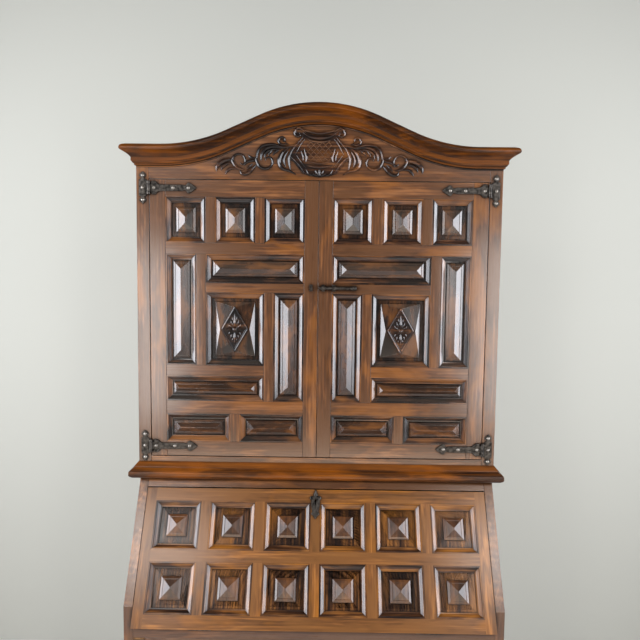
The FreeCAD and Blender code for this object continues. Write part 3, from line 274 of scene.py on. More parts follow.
@dataclass(frozen=True)
class ForgedIron:
    """Forged iron, blackened and waxed: hammer dents, a dull grey sheen and bare metal where it is marked as
    rubbed.
    """

    name: str
    black: str = "#211f1d"
    grey: str = "#58534e"
    bare: str = "#98928a"
    roughness: float = 0.38
    dent_mm: float = 9.0
    dent_depth_mm: float = 1.2

    def material(self) -> bpy.types.Material:
        """Builds the finish.

        Returns:
            The material.
        """
        material, tree = blank_material(self.name)
        place = add_node(tree, "TexCoord").outputs["Object"]
        dents = add_node(tree, "TexNoise", {"Vector": place, "Scale": 1 / (self.dent_mm * MM), "Detail": 3.0,
                                            "Roughness": 0.55}).outputs["Fac"]
        scale_layer = add_node(tree, "TexNoise", {"Vector": place, "Scale": 4 / (self.dent_mm * MM),
                                                  "Detail": 4.0}).outputs["Fac"]
        share = add_node(tree, "MapRange", {"Value": dents, "From Min": 0.35, "From Max": 0.62}).outputs[0]
        skin = add_node(tree, "Mix", {"Factor": share, 6: linear(self.black), 7: linear(self.grey)},
                        data_type="RGBA").outputs[2]
        rubbed = add_node(tree, "Attribute", attribute_name="worn").outputs["Fac"]
        colour = add_node(tree, "Mix", {"Factor": rubbed, 6: skin, 7: linear(self.bare)},
                          data_type="RGBA").outputs[2]
        rough = add_node(tree, "MapRange", {"Value": scale_layer, "From Min": 0.3, "From Max": 0.7,
                                            "To Min": self.roughness - 0.1,
                                            "To Max": self.roughness + 0.18}).outputs[0]
        beaten = add_node(tree, "Bump", {"Height": dents, "Strength": 0.9,
                                         "Distance": self.dent_depth_mm * MM})
        shader = add_node(tree, "BsdfPrincipled", {"Base Color": colour, "Roughness": rough, "Metallic": 0.85,
                                                   "Normal": beaten.outputs[0]})
        add_node(tree, "OutputMaterial", {"Surface": shader.outputs[0]})
        return material


@dataclass(frozen=True)
class RoomFinish:
    """Matt painted plaster or a plain pale floor, seen from the room's side alone."""

    name: str
    colour: str

    def material(self) -> bpy.types.Material:
        """Builds the finish.

        Returns:
            The material.
        """
        material, tree = blank_material(self.name)
        paint = add_node(tree, "BsdfPrincipled", {"Base Color": linear(self.colour), "Roughness": 0.9})
        clear = add_node(tree, "BsdfTransparent")
        behind = add_node(tree, "NewGeometry").outputs["Backfacing"]
        shader = add_node(tree, "MixShader", {0: behind, 1: paint.outputs[0], 2: clear.outputs[0]})
        add_node(tree, "OutputMaterial", {"Surface": shader.outputs[0]})
        return material


def deselect() -> None:
    """Clears the selection, because an operator acts on all that is selected."""
    for other in bpy.context.selected_objects:
        other.select_set(False)


def work_on(piece: bpy.types.Object) -> None:
    """Makes a piece the only one selected, and the active one."""
    deselect()
    piece.select_set(True)
    bpy.context.view_layer.objects.active = piece


def placed(name: str, data: bpy.types.ID) -> bpy.types.Object:
    """Puts a mesh, curve, lamp or camera in the scene under that name."""
    holder = bpy.data.objects.new(name, data)
    bpy.context.scene.collection.objects.link(holder)
    return holder


def mark(mesh: bpy.types.Mesh, name: str, kind: str, domain: str, values: Sequence[float]) -> None:
    """Gives a mesh an attribute.

    Args:
        mesh: The mesh.
        name: The attribute's name.
        kind: FLOAT or FLOAT_VECTOR.
        domain: What carries it: POINT, CORNER or FACE.
        values: All its numbers in one row.
    """
    entry = "vector" if kind == "FLOAT_VECTOR" else "value"
    mesh.attributes.new(name, kind, domain).data.foreach_set(entry, values)


def modify(piece: bpy.types.Object, kind: str, **settings) -> None:
    """Applies one modifier.

    Args:
        piece: The piece, which is the active one.
        kind: The modifier's type.
        **settings: Its own properties.
    """
    bpy.ops.object.modifier_add(type=kind)
    modifier = piece.modifiers[-1]
    for name, value in settings.items():
        setattr(modifier, name, value)
    bpy.ops.object.modifier_apply(modifier=modifier.name)


@contextmanager
def editing() -> Iterator[None]:
    """Opens the active piece's mesh with all of it selected, and closes it again.

    Yields:
        Nothing: the operators act on what is selected.
    """
    bpy.ops.object.mode_set(mode="EDIT")
    bpy.ops.mesh.select_all(action="SELECT")
    yield
    bpy.ops.object.mode_set(mode="OBJECT")


def shade_by_area(piece: bpy.types.Object, smooth_degrees: float) -> None:
    """Shades by the faces' areas, so that a wide flat face stays flat beside its eased edges.

    Args:
        piece: The piece, which is the active one.
        smooth_degrees: Edges sharper than this stay sharp.
    """
    bpy.ops.object.shade_smooth_by_angle(angle=math.radians(smooth_degrees))
    modify(piece, "WEIGHTED_NORMAL", keep_sharp=True)


@dataclass
class Board:
    """One closed solid of a CAD node, with its corners merged."""

    corners: list[Vector]
    faces: list[tuple[int, ...]]

    def grain(self, directions: Sequence[Vector]) -> tuple[Vector, Vector, Vector]:
        """Orders the directions by how far the board reaches: the grain runs the longest way.

        Args:
            directions: Three directions square to each other.

        Returns:
            Along the grain, across it and through the board.
        """
        def reach(way: Vector) -> float:
            places = [corner.dot(way) for corner in self.corners]
            return max(places) - min(places)

        return tuple(sorted(directions, key=reach, reverse=True))


def boards_of(node: str) -> list[Board]:
    """Splits a CAD node into its solids: its triangles come solid by solid, and each solid is closed.

    Args:
        node: The CAD node's name.

    Returns:
        The solids, in the node's order.
    """
    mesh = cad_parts[node].data
    boards: list[Board] = []
    index: dict[tuple[float, ...], int] = {}
    board = Board([], [])
    open_edges: set[tuple[int, int]] = set()
    for polygon in mesh.polygons:
        face = []
        for vertex in polygon.vertices:
            corner = mesh.vertices[vertex].co
            key = tuple(round(value, 6) for value in corner)
            if key not in index:
                index[key] = len(board.corners)
                board.corners.append(corner.copy())
            face.append(index[key])
        board.faces.append(tuple(face))
        for a, b in zip(face, face[1:] + face[:1]):
            if (b, a) in open_edges:
                open_edges.discard((b, a))
            else:
                open_edges.add((a, b))
        if not open_edges:
            boards.append(board)
            board = Board([], [])
            index = {}
    if board.faces:
        boards.append(board)
    return boards


@dataclass
class Joinery:
    """Boards of one CAD node, eased on their edges, each with its own grain and tone.

    Only the node's first solids are taken where "boards" says how many of them are boards.
    """

    node: str
    body: str
    slot: str
    finish: bpy.types.Material
    edge_mm: float = 1.0
    stand: Stand = Stand.SQUARE
    tone_spread: float = 0.5
    smooth_degrees: float = 40.0
    flat_degrees: float = 0.5
    sharp_degrees: float = 25.0
    boards: int | None = None

    def build(self) -> None:
        """Makes the dressed copy and puts it in the node's place."""
        chance = random.Random(self.node)
        corners: list[Vector] = []
        faces: list[tuple[int, ...]] = []
        grain: list[float] = []
        tone: list[float] = []
        for board in boards_of(self.node)[:self.boards]:
            start = len(corners)
            corners += board.corners
            faces += [tuple(start + i for i in face) for face in board.faces]
            ways = board.grain(self.stand.value)
            shift = [chance.uniform(-GRAIN_SHIFT, GRAIN_SHIFT) for _ in ways]
            pale = 0.5 + chance.uniform(-0.5, 0.5) * self.tone_spread
            for corner in board.corners:
                grain += [corner.dot(way) + offset for way, offset in zip(ways, shift)]
                tone.append(pale)
        mesh = bpy.data.meshes.new(f"walnut_{self.node}")
        mesh.from_pydata(corners, [], faces)
        mark(mesh, "grain", "FLOAT_VECTOR", "POINT", grain)
        mark(mesh, "tone", "FLOAT", "POINT", tone)
        mesh.materials.append(self.finish)
        piece = placed(f"walnut_{self.node}", mesh)
        self.ease(piece)
        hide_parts(self.node)
        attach(piece, self.body)
        LOG.info("%s: %d faces", piece.name, len(piece.data.polygons))

    def ease(self, piece: bpy.types.Object) -> None:
        """Rounds the edges as a plane and years of use do, and marks the rounded faces as worn.

        Args:
            piece: The boards.
        """
        work_on(piece)
        with editing():
            bpy.ops.mesh.dissolve_limited(angle_limit=math.radians(self.flat_degrees))
            bpy.ops.mesh.select_all(action="DESELECT")
            bpy.ops.mesh.select_mode(type="EDGE")
            bpy.ops.mesh.edges_select_sharp(sharpness=math.radians(self.sharp_degrees))
            bpy.ops.mesh.bevel(offset=self.edge_mm * MM, segments=2, clamp_overlap=True)
        mesh = piece.data
        worn = [float(polygon.select) for polygon in mesh.polygons]
        mark(mesh, "worn", "FLOAT", "FACE", worn)
        shade_by_area(piece, self.smooth_degrees)


@dataclass
class DressedIron:
    """Iron of one CAD node, with its corners merged and its rounds shaded smooth."""

    node: str
    body: str
    slot: str
    finish: bpy.types.Material
    smooth_degrees: float = 40.0

    def build(self) -> None:
        """Makes the dressed copy and puts it in the node's place."""
        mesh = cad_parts[self.node].data.copy()
        mesh.name = f"iron_{self.node}"
        mesh.materials.clear()
        mesh.materials.append(self.finish)
        piece = placed(f"iron_{self.node}", mesh)
        work_on(piece)
        with editing():
            bpy.ops.mesh.remove_doubles(threshold=MERGE * MM)
        bpy.ops.object.shade_smooth_by_angle(angle=math.radians(self.smooth_degrees))
        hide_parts(self.node)
        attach(piece, self.body)
        LOG.info("%s: %d faces", piece.name, len(piece.data.polygons))


@dataclass(frozen=True)
class Ground:
    """The flat ground that work is laid out on: a point on it and how far it leans back from upright."""

    origin: Vector
    lean: float = 0.0

    def set_up(self, piece: bpy.types.Object) -> None:
        """Moves work laid out flat, in millimetres right, up and off the ground, to its place.

        Args:
            piece: The work.
        """
        turn = Matrix.Rotation(math.pi / 2 - self.lean, 4, "X") @ Matrix.Scale(MM, 4)
        piece.data.transform(Matrix.Translation(self.origin * MM) @ turn)
        piece.data.update()


def joined(pieces: Sequence[bpy.types.Object], name: str) -> bpy.types.Object:
    """Joins pieces into the first of them.

    Args:
        pieces: The pieces.
        name: The name of the whole.

    Returns:
        The whole.
    """
    work_on(pieces[0])
    for piece in pieces[1:]:
        piece.select_set(True)
    bpy.ops.object.join()
    pieces[0].name = pieces[0].data.name = name
    return pieces[0]


def copy_of(piece: bpy.types.Object, change: Matrix) -> bpy.types.Object:
    """Copies a piece with its own mesh, and moves or mirrors the copy.

    Args:
        piece: The model.
        change: The move, turn or mirror.

    Returns:
        The copy.
    """
    twin = piece.copy()
    twin.data = piece.data.copy()
    twin.data.transform(change)
    bpy.context.scene.collection.objects.link(twin)
    if change.determinant() < 0:
        work_on(twin)
        with editing():
            bpy.ops.mesh.normals_make_consistent(inside=False)
    return twin


def copies(model: bpy.types.Object, changes: Iterable[Matrix]) -> list[bpy.types.Object]:
    """Copies a model to each place and takes the model itself away."""
    twins = [copy_of(model, change) for change in changes]
    bpy.data.objects.remove(model)
    return twins


def move(right: float = 0.0, up: float = 0.0, out: float = 0.0) -> Matrix:
    """A move in millimetres on the ground."""
    return Matrix.Translation((right, up, out))


def plate(name: str, outline: Outline, thickness: float, ease: float) -> bpy.types.Object:
    """Cuts a plate out of a round blank and eases its edges.

    Args:
        name: What it is.
        outline: Its corners in millimetres.
        thickness: How far it stands off the ground.
        ease: How far its edges are rounded.

    Returns:
        The plate, laid out flat.
    """
    deselect()
    bpy.ops.mesh.primitive_circle_add(vertices=len(outline), fill_type="NGON")
    piece = bpy.context.object
    piece.name = piece.data.name = name
    for vertex, (right, up) in zip(piece.data.vertices, outline):
        vertex.co = (right, up, 0)
    with editing():
        bpy.ops.mesh.extrude_region_move(TRANSFORM_OT_translate={"value": (0, 0, thickness)})
        bpy.ops.mesh.select_all(action="SELECT")
        bpy.ops.mesh.normals_make_consistent(inside=False)
    modify(piece, "BEVEL", width=ease, segments=2, limit_method="ANGLE", angle_limit=math.radians(50))
    return piece


def turned(name: str, section: Outline, steps: int = 24) -> bpy.types.Object:
    """Turns a piece on the lathe.

    Args:
        name: What it is.
        section: Radius and height in millimetres, from the axis out and back to the axis.
        steps: How many flats go round it.

    Returns:
        The piece, with its axis upright off the ground.
    """
    deselect()
    bpy.ops.mesh.primitive_circle_add(vertices=len(section))
    piece = bpy.context.object
    piece.name = piece.data.name = name
    for vertex, (radius, height) in zip(piece.data.vertices, section):
        vertex.co = (radius, 0, height)
    with editing():
        bpy.ops.mesh.spin(steps=steps, angle=2 * math.pi, center=(0, 0, 0), axis=(0, 0, 1))
        bpy.ops.mesh.select_all(action="SELECT")
        bpy.ops.mesh.remove_doubles(threshold=MERGE)
        bpy.ops.mesh.dissolve_degenerate(threshold=MERGE)
        bpy.ops.mesh.delete_loose()
        bpy.ops.mesh.select_all(action="SELECT")
        bpy.ops.mesh.normals_make_consistent(inside=False)
    return piece


@dataclass(frozen=True)
class Stroke:
    """A ridge left by the carver: the places it passes, in millimetres, and its half widths at even steps."""

    path: Outline
    widths: Sequence[float]

    def sampled(self, steps: int = 5) -> list[Place]:
        """Bends the stroke smoothly through its places.

        Args:
            steps: Points in each span.

        Returns:
            Right, up and half width at each point.
        """
        spans = len(self.path) - 1
        points = []
        for index in range(spans * steps + 1):
            at = index / steps
            span = min(int(at), spans - 1)
            t = at - span
            p0, p1, p2, p3 = (self.path[min(max(span + k, 0), spans)] for k in (-1, 0, 1, 2))
            place = [0.5 * (2 * b + (c - a) * t + (2 * a - 5 * b + 4 * c - d) * t * t
                            + (3 * b - a - 3 * c + d) * t ** 3) for a, b, c, d in zip(p0, p1, p2, p3)]
            share = at / spans * (len(self.widths) - 1)
            low = min(int(share), len(self.widths) - 2)
            width = self.widths[low] + (self.widths[low + 1] - self.widths[low]) * (share - low)
            points.append((place[0], place[1], width))
        return points

    def mirrored(self) -> "Stroke":
        """The same stroke on the other side."""
        return Stroke([(-right, up) for right, up in self.path], self.widths)


def carved(name: str, strokes: Iterable[Stroke]) -> bpy.types.Object:
    """Carves strokes: a ridge drawn along each of them, as wide and as high as the stroke says.

    Args:
        name: What they make.
        strokes: The strokes.

    Returns:
        The carving, laid out flat.
    """
    shape = bpy.data.curves.new("section", "CURVE")
    rim = shape.splines.new("POLY")
    rim.points.add(len(RIDGE) - 1)
    for point, (right, up) in zip(rim.points, RIDGE):
        point.co = (right, up, 0, 1)
    rim.use_cyclic_u = True
    holder = placed("section", shape)
    curve = bpy.data.curves.new(name, "CURVE")
    curve.dimensions = "2D"
    curve.fill_mode = "NONE"
    curve.bevel_mode = "OBJECT"
    curve.bevel_object = holder
    curve.use_fill_caps = True
    for stroke in strokes:
        points = stroke.sampled()
        spline = curve.splines.new("POLY")
        spline.points.add(len(points) - 1)
        for point, (right, up, width) in zip(spline.points, points):
            point.co = (right, up, 0, 1)
            point.radius = width
    piece = placed(name, curve)
    work_on(piece)
    bpy.ops.object.convert(target="MESH")
    with editing():
        bpy.ops.mesh.remove_doubles(threshold=MERGE)
        bpy.ops.mesh.normals_make_consistent(inside=False)
    bpy.data.objects.remove(holder)
    return piece


def rub(piece: bpy.types.Object) -> None:
    """Marks a whole piece as worn by hands and cloths."""
    mark(piece.data, "worn", "FLOAT", "FACE", [1.0] * len(piece.data.polygons))


@dataclass(frozen=True)
class Fixing:
    """Where a new piece belongs: its CAD node, body, slot and finish, and whether its grain is upright."""

    node: str
    body: str
    slot: str
    finish: bpy.types.Material
    upright: bool = False

    def fix(self, piece: bpy.types.Object, smooth_degrees: float = 35.0) -> None:
        """Shades a piece, gives it its finish and grain, and puts it in the node's place.

        Args:
            piece: The piece, in its place.
            smooth_degrees: Edges sharper than this stay sharp.
        """
        work_on(piece)
        mesh = piece.data
        mesh.materials.clear()
        mesh.materials.append(self.finish)
        if "grain" not in mesh.attributes:
            order = (2, 0, 1) if self.upright else (0, 2, 1)
            grain = [vertex.co[axis] for vertex in mesh.vertices for axis in order]
            mark(mesh, "grain", "FLOAT_VECTOR", "POINT", grain)
        mark(mesh, "tone", "FLOAT", "POINT", [0.5] * len(mesh.vertices))
        shade_by_area(piece, smooth_degrees)
        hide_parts(self.node)
        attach(piece, self.body)
        LOG.info("%s: %d faces", piece.name, len(mesh.polygons))


def middle_of(node: str) -> tuple[Vector, Vector]:
    """Finds a CAD node's middle and size in millimetres."""
    places = [vertex.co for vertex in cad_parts[node].data.vertices]
    low = Vector(min(place[i] for place in places) for i in range(3)) / MM
    high = Vector(max(place[i] for place in places) for i in range(3)) / MM
    return (low + high) / 2, high - low


@dataclass
class Pediment:
    """The carved frieze: a latticed cartouche between leaf scrolls."""

    finish: bpy.types.Material
    raised_out: float = 1.4
    lattice_reach: int = 9
    lattice_step: float = 16.0
    lattice_half: float = 1.3
    lattice_lean: float = 0.95
    lattice_fewest: int = 5
    field_low: float = 50.0
    field_middle: float = 78.0
    field_half: float = 40.0
    field_rows: int = 49
    field_row: float = 1.2
    shell_foot: float = 11.0
    frieze_height: float = 37.0
    arch_rise: float = 113.5
    arch_reach: float = 430.0
    arch_slope: float = math.radians(24.2)
    crown_radius: float = 391.5
    sweep_radius: float = 436.2
    bead_half: float = 2.3
    bead_reach: float = 499.0
    bead_places: int = 51

    def arch(self, right: float) -> float:
        """How high the cornice stands above its own ends at that place, in millimetres."""
        away = abs(right)
        crown_end = self.crown_radius * math.sin(self.arch_slope)
        sweep_end = self.arch_reach - self.sweep_radius * math.sin(self.arch_slope)
        if away < crown_end:
            return self.arch_rise - self.crown_radius + math.sqrt(self.crown_radius ** 2 - away ** 2)
        if away < sweep_end:
            return (self.sweep_radius * (1 - math.cos(self.arch_slope))
                    + (sweep_end - away) * math.tan(self.arch_slope))
        inside = max(self.arch_reach - away, 0.0)
        return self.sweep_radius - math.sqrt(self.sweep_radius ** 2 - inside ** 2)

    def bead(self) -> Stroke:
        """The thin bead that runs under the cornice from end to end."""
        step = 2 * self.bead_reach / (self.bead_places - 1)
        rights = [number * step - self.bead_reach for number in range(self.bead_places)]
        level = self.frieze_height - self.bead_half
        path = [(right, level + self.arch(right)) for right in rights]
        return Stroke(path, (self.bead_half, self.bead_half))

    def scroll(self) -> list[Stroke]:
        """The leaf scrolls on the left, measured from the doors' head up."""
        return [
            Stroke([(-60, 93), (-71, 93), (-93, 89), (-108, 91), (-125, 96), (-146, 95), (-159, 89),
                    (-167, 77), (-171, 60)], (2.0, 3.4, 3.6, 4.0, 3.6, 2.4)),
            Stroke([(-168, 74), (-172, 58), (-168, 45), (-160, 35), (-149, 31), (-137, 34), (-129, 43),
                    (-128, 54), (-135, 62), (-144, 60), (-147, 53)],
                   (1.4, 3.4, 4.0, 3.6, 3.0, 2.6, 2.4, 2.0, 0.6)),
            Stroke([(-96, 85), (-118, 90), (-138, 88), (-151, 80), (-158, 66), (-159, 53)],
                   (1.2, 3.4, 4.6, 4.8, 3.2, 0.6)),
            Stroke([(-104, 82), (-122, 84), (-138, 79), (-147, 70), (-149, 60)], (0.8, 3.0, 3.8, 3.0, 0.6)),
            Stroke([(-110, 82), (-119, 77), (-127, 67)], (1.0, 3.8, 0.6)),
            Stroke([(-128, 81), (-135, 74), (-138, 66)], (1.0, 3.2, 0.6)),
            Stroke([(-84, 97), (-91, 98), (-100, 96), (-109, 100), (-111, 109), (-104, 116), (-96, 113),
                    (-95, 106), (-100, 103)], (0.8, 2.6, 3.2, 3.2, 2.8, 2.4, 1.6, 0.5)),
            Stroke([(-90, 101), (-98, 108), (-105, 110)], (0.6, 2.2, 0.6)),
            Stroke([(-74, 93), (-89, 84), (-102, 72), (-109, 54), (-106, 39), (-96, 30), (-79, 25),
                    (-64, 16)], (1.0, 3.2, 4.6, 5.2, 5.0, 4.0, 2.8, 0.6)),
            Stroke([(-54, 107), (-68, 93), (-78, 77), (-83, 60), (-82, 44), (-79, 29)],
                   (1.4, 2.8, 3.4, 3.6, 2.6, 0.5)),
            Stroke([(-85, 79), (-94, 66), (-97, 52), (-92, 37)], (0.8, 3.2, 3.4, 0.6)),
            Stroke([(-204, 29), (-214, 30), (-225, 35), (-234, 46), (-237, 56), (-230, 66), (-219, 70),
                    (-208, 66), (-202, 56), (-203, 46), (-210, 42), (-215, 47)],
                   (0.8, 4.0, 4.2, 3.6, 2.8, 2.6, 2.6, 2.2, 0.6)),
            Stroke([(-169, 60), (-180, 53), (-191, 51), (-200, 46), (-204, 39)], (1.0, 3.4, 4.0, 3.2, 0.8)),
            Stroke([(-176, 60), (-186, 61), (-194, 67)], (0.8, 3.4, 0.6)),
            Stroke([(-171, 41), (-178, 35), (-187, 25), (-199, 17), (-211, 17), (-216, 26)],
                   (1.0, 3.2, 4.6, 4.4, 3.0, 0.6)),
            Stroke([(-182, 44), (-191, 36), (-199, 27)], (0.8, 3.4, 0.6)),
            Stroke([(-234, 53), (-245, 55), (-258, 52), (-270, 45), (-278, 35), (-280, 23)],
                   (1.4, 4.6, 6.0, 6.0, 4.4, 0.8)),
            Stroke([(-240, 45), (-252, 43), (-263, 35), (-267, 25)], (1.2, 3.8, 3.8, 0.6)),
            Stroke([(-223, 30), (-239, 32), (-249, 26), (-256, 15)], (1.2, 3.6, 3.6, 0.6)),
        ]

    def frame(self) -> list[Stroke]:
        """The left half of the cartouche: ear, rods, fan and foot."""
        return [
            Stroke([(-38, 128), (-47, 136), (-57, 140), (-66, 134), (-67, 124), (-60, 118), (-53, 121),
                    (-55, 128)], (1.2, 2.6, 3.2, 3.2, 3.0, 2.6, 0.6)),
            Stroke([(-46, 115), (-59, 100), (-71, 86), (-79, 71), (-83, 56)], (1.4, 2.4, 2.6, 2.4, 1.0)),
            Stroke([(-40, 111), (-52, 96), (-60, 81), (-66, 69)], (1.0, 2.0, 2.0, 0.8)),
            Stroke([(-77, 63), (-66, 54), (-54, 41), (-40, 20)], (1.0, 2.8, 2.8, 1.0)),
            Stroke([(-62, 67), (-50, 51), (-38, 34)], (0.8, 2.0, 0.8)),
            Stroke([(-42, 86), (-38, 74), (-35, 62), (-37, 50)], (1.0, 3.0, 3.2, 1.0)),
            Stroke([(-50, 79), (-45, 67), (-44, 54)], (0.8, 2.8, 0.8)),
            Stroke([(-36, 30), (-30, 20), (-22, 15), (-13, 18)], (0.8, 2.6, 2.4, 0.6)),
        ]

    def middle(self) -> list[Stroke]:
        """The swags over the lattice, the lip and pillow under it, and the shell at the foot."""
        bands = [
            Stroke([(-54, 141), (-40, 134), (-20, 129), (0, 126), (20, 129), (40, 134), (54, 141)],
                   (0.8, 2.2, 3.2, 3.8, 3.2, 2.2, 0.8)),
            Stroke([(-45, 128), (-31, 119), (-15, 115), (0, 114), (15, 115), (31, 119), (45, 128)],
                   (0.8, 2.8, 4.4, 5.0, 4.4, 2.8, 0.8)),
            Stroke([(-34, 112), (-19, 106), (0, 104), (19, 106), (34, 112)], (0.8, 3.0, 3.8, 3.0, 0.8)),
            Stroke([(-35, 51), (-20, 50), (0, 45.5), (20, 50), (35, 51)], (0.8, 2.4, 2.8, 2.4, 0.8)),
            Stroke([(-38, 42), (-17, 38), (0, 36.5), (17, 38), (38, 42)], (0.8, 3.6, 4.4, 3.6, 0.8)),
        ]
        for turn in (-64, -33, 0, 33, 64):
            aside, upward = math.sin(math.radians(turn)), math.cos(math.radians(turn))
            path = [(aside * reach, self.shell_foot + upward * reach) for reach in (3, 11, 19)]
            bands.append(Stroke(path, (1.2, 3.6, 2.6)))
        return bands

    def lattice(self) -> list[Stroke]:
        """Thin crossing bars that fill the cartouche's field."""
        bars = []
        for number in range(-self.lattice_reach, self.lattice_reach + 1):
            for lean in (-1, 1):
                places = []
                for row in range(self.field_rows):
                    up = self.field_low + row * self.field_row
                    off = up - self.field_middle
                    right = number * self.lattice_step + lean * off * self.lattice_lean
                    if abs(right) < self.field_half - 0.5 * abs(off) ** 0.9:
                        places.append((right, up))
                if len(places) > self.lattice_fewest:
                    bars.append(Stroke((places[0], places[-1]), (self.lattice_half, self.lattice_half)))
        return bars

    def build(self) -> None:
        """Carves the frieze and sets it on its board."""
        left = self.scroll()
        relief = carved("leaf_strokes", left + [stroke.mirrored() for stroke in left])
        left = self.frame()
        raised = carved("cartouche_strokes", left + [stroke.mirrored() for stroke in left] + self.middle())
        lattice = carved("lattice", self.lattice())
        rub(lattice)
        for piece in (raised, lattice):
            piece.data.transform(move(out=self.raised_out))
        half = [(0, 9), (26, 13), (45, 19), (70, 50), (84, 57), (80, 76), (62, 100), (47, 118), (60, 118),
                (66, 126), (64, 136), (54, 141), (38, 130), (18, 122), (0, 120)]
        shield = half + [(-right, up) for right, up in half[-2:0:-1]]
        ground = plate("cartouche_ground", shield, 1.6, 1.0)
        bead = carved("cornice_bead", [self.bead()])
        whole = joined([relief, raised, lattice, ground, bead], "carved_pediment")
        Ground(Vector((0, FRONT_Y, DOOR_HEAD))).set_up(whole)
        Fixing("pediment_carving", "cabinet", "walnut_carved", self.finish).fix(whole)


@dataclass
class CofferMouldings:
    """Mitred mouldings run round the coffers: a fillet, a step, a swelled slope and a foot."""

    node: str
    body: str
    finish: bpy.types.Material
    ground: Ground
    depth: float = 11.0
    sunk: float = 0.5
    merge: float = 0.001
    section: Outline = ((3.4, 0.0), (0.5, -1.6), (0.9, -0.1), (3.7, -2.5), (0.3, -0.5), (3.9, -2.7),
                        (0.3, -0.5), (2.9, -0.2), (0.05, -2.4))

    def coffers(self) -> list[tuple[float, float, float, float]]:
        """Reads the coffers from the CAD node, which has four strips for each.

        Returns:
            Left, low, right and high of each coffer, in millimetres on the ground.
        """
        boards = boards_of(self.node)
        upward = Vector((0, math.sin(self.ground.lean), math.cos(self.ground.lean)))
        rooms = []
        for first in range(0, len(boards), 4):
            corners = [corner / MM - self.ground.origin for board in boards[first:first + 4]
                       for corner in board.corners]
            rights = [corner.x for corner in corners]
            ups = [corner.dot(upward) for corner in corners]
            rooms.append((min(rights), min(ups), max(rights), max(ups)))
        return rooms

    def coffer(self, room: tuple[float, float, float, float], chance: random.Random) -> bpy.types.Object:
        """Runs the moulding round one coffer.

        Args:
            room: Left, low, right and high of the coffer.
            chance: Where each strip was cut from its plank.

        Returns:
            The four mitred strips.
        """
        left, low, right, high = room
        deselect()
        bpy.ops.mesh.primitive_plane_add()
        piece = bpy.context.object
        corners = ((left, low), (right, low), (left, high), (right, high))
        for vertex, corner in zip(piece.data.vertices, corners):
            vertex.co = (*corner, -self.depth)
        with editing():
            bpy.ops.mesh.select_mode(type="FACE")
            bpy.ops.mesh.select_all(action="SELECT")
            bpy.ops.mesh.extrude_region_move(TRANSFORM_OT_translate={"value": (0, 0, self.depth - self.sunk)})
            for inward, out in self.section:
                bpy.ops.mesh.inset(thickness=inward, depth=out)
            bpy.ops.mesh.delete(type="FACE")
            bpy.ops.mesh.select_all(action="SELECT")
            bpy.ops.mesh.remove_doubles(threshold=self.merge)
        mesh = piece.data
        shifts = [[chance.uniform(-GRAIN_SHIFT, GRAIN_SHIFT) for _ in range(3)] for _ in range(4)]
        grain = []
        for polygon in mesh.polygons:
            places = [mesh.vertices[vertex].co for vertex in polygon.vertices]
            wide = max(place.x for place in places) - min(place.x for place in places)
            tall = max(place.y for place in places) - min(place.y for place in places)
            centre = polygon.center
            if wide > tall:
                order, shift = (0, 1, 2), shifts[int(centre.y > (low + high) / 2)]
            else:
                order, shift = (1, 0, 2), shifts[2 + int(centre.x > (left + right) / 2)]
            for place in places:
                grain += [place[axis] * MM + offset for axis, offset in zip(order, shift)]
        mark(mesh, "grain", "FLOAT_VECTOR", "CORNER", grain)
        return piece

    def build(self) -> None:
        """Runs all the mouldings and puts them in the node's place."""
        chance = random.Random(self.node)
        whole = joined([self.coffer(room, chance) for room in self.coffers()], f"run_{self.node}")
        self.ground.set_up(whole)
        Fixing(self.node, self.body, "walnut_coffer_mouldings", self.finish).fix(whole, smooth_degrees=20.0)


@dataclass
class Rosette:
    """Leaves round a button, carved on the lozenge of a door.

    Each rib follows the rim at a share of its size, with its half width.
    """

    side: str
    finish: bpy.types.Material
    border: float = 9.0
    leaves_out: float = 1.2
    ribs: Sequence[tuple[float, float]] = ((0.93, 2.3), (0.8, 0.9))

    def build(self) -> None:
        """Carves the rosette and sets it on its panel."""
        node = f"door_{self.side}_rosette"
        middle, size = middle_of(node)
        wide, high = size.x / 2 + self.border, size.z / 2 + self.border * size.z / size.x
        strokes = [
            Stroke([(0, 8), (0, 20), (0, 43)], (1.5, 4.6, 0.5)),
            Stroke([(7, 0), (14, 0), (25, 0)], (1.2, 4.2, 0.5)),
            Stroke([(3, 10), (8, 17), (11, 26)], (1.0, 3.4, 0.5)),
            Stroke([(2, 21), (5, 28), (6, 36)], (1.0, 2.8, 0.5)),
            Stroke([(7, 5), (13, 9), (17, 16)], (1.0, 3.2, 0.5)),
        ]
        for share, half in self.ribs:
            strokes.append(Stroke([(wide * share, 0), (0, high * share)], (half, half)))
        strokes += [stroke.mirrored() for stroke in strokes]
        strokes += [Stroke([(right, -up) for right, up in stroke.path], stroke.widths) for stroke in strokes]
        button = turned("button", [(0, 0), (7.5, 0), (7.5, 1.6), (5.6, 2.4), (5.2, 3.8), (3.6, 5.2),
                                   (1.4, 5.8), (0, 5.9)])
        rim = [(wide, 0), (0, high), (-wide, 0), (0, -high)]
        ground = plate("rosette_ground", rim, 1.4, 0.8)
        leaves = carved("rosette_leaves", strokes)
        leaves.data.transform(move(out=self.leaves_out))
        whole = joined([leaves, button, ground], f"carved_rosette_{self.side}")
        Ground(Vector((middle.x, middle.y + size.y / 2, middle.z))).set_up(whole)
        Fixing(node, f"door_{self.side}", "walnut_carved", self.finish).fix(whole)


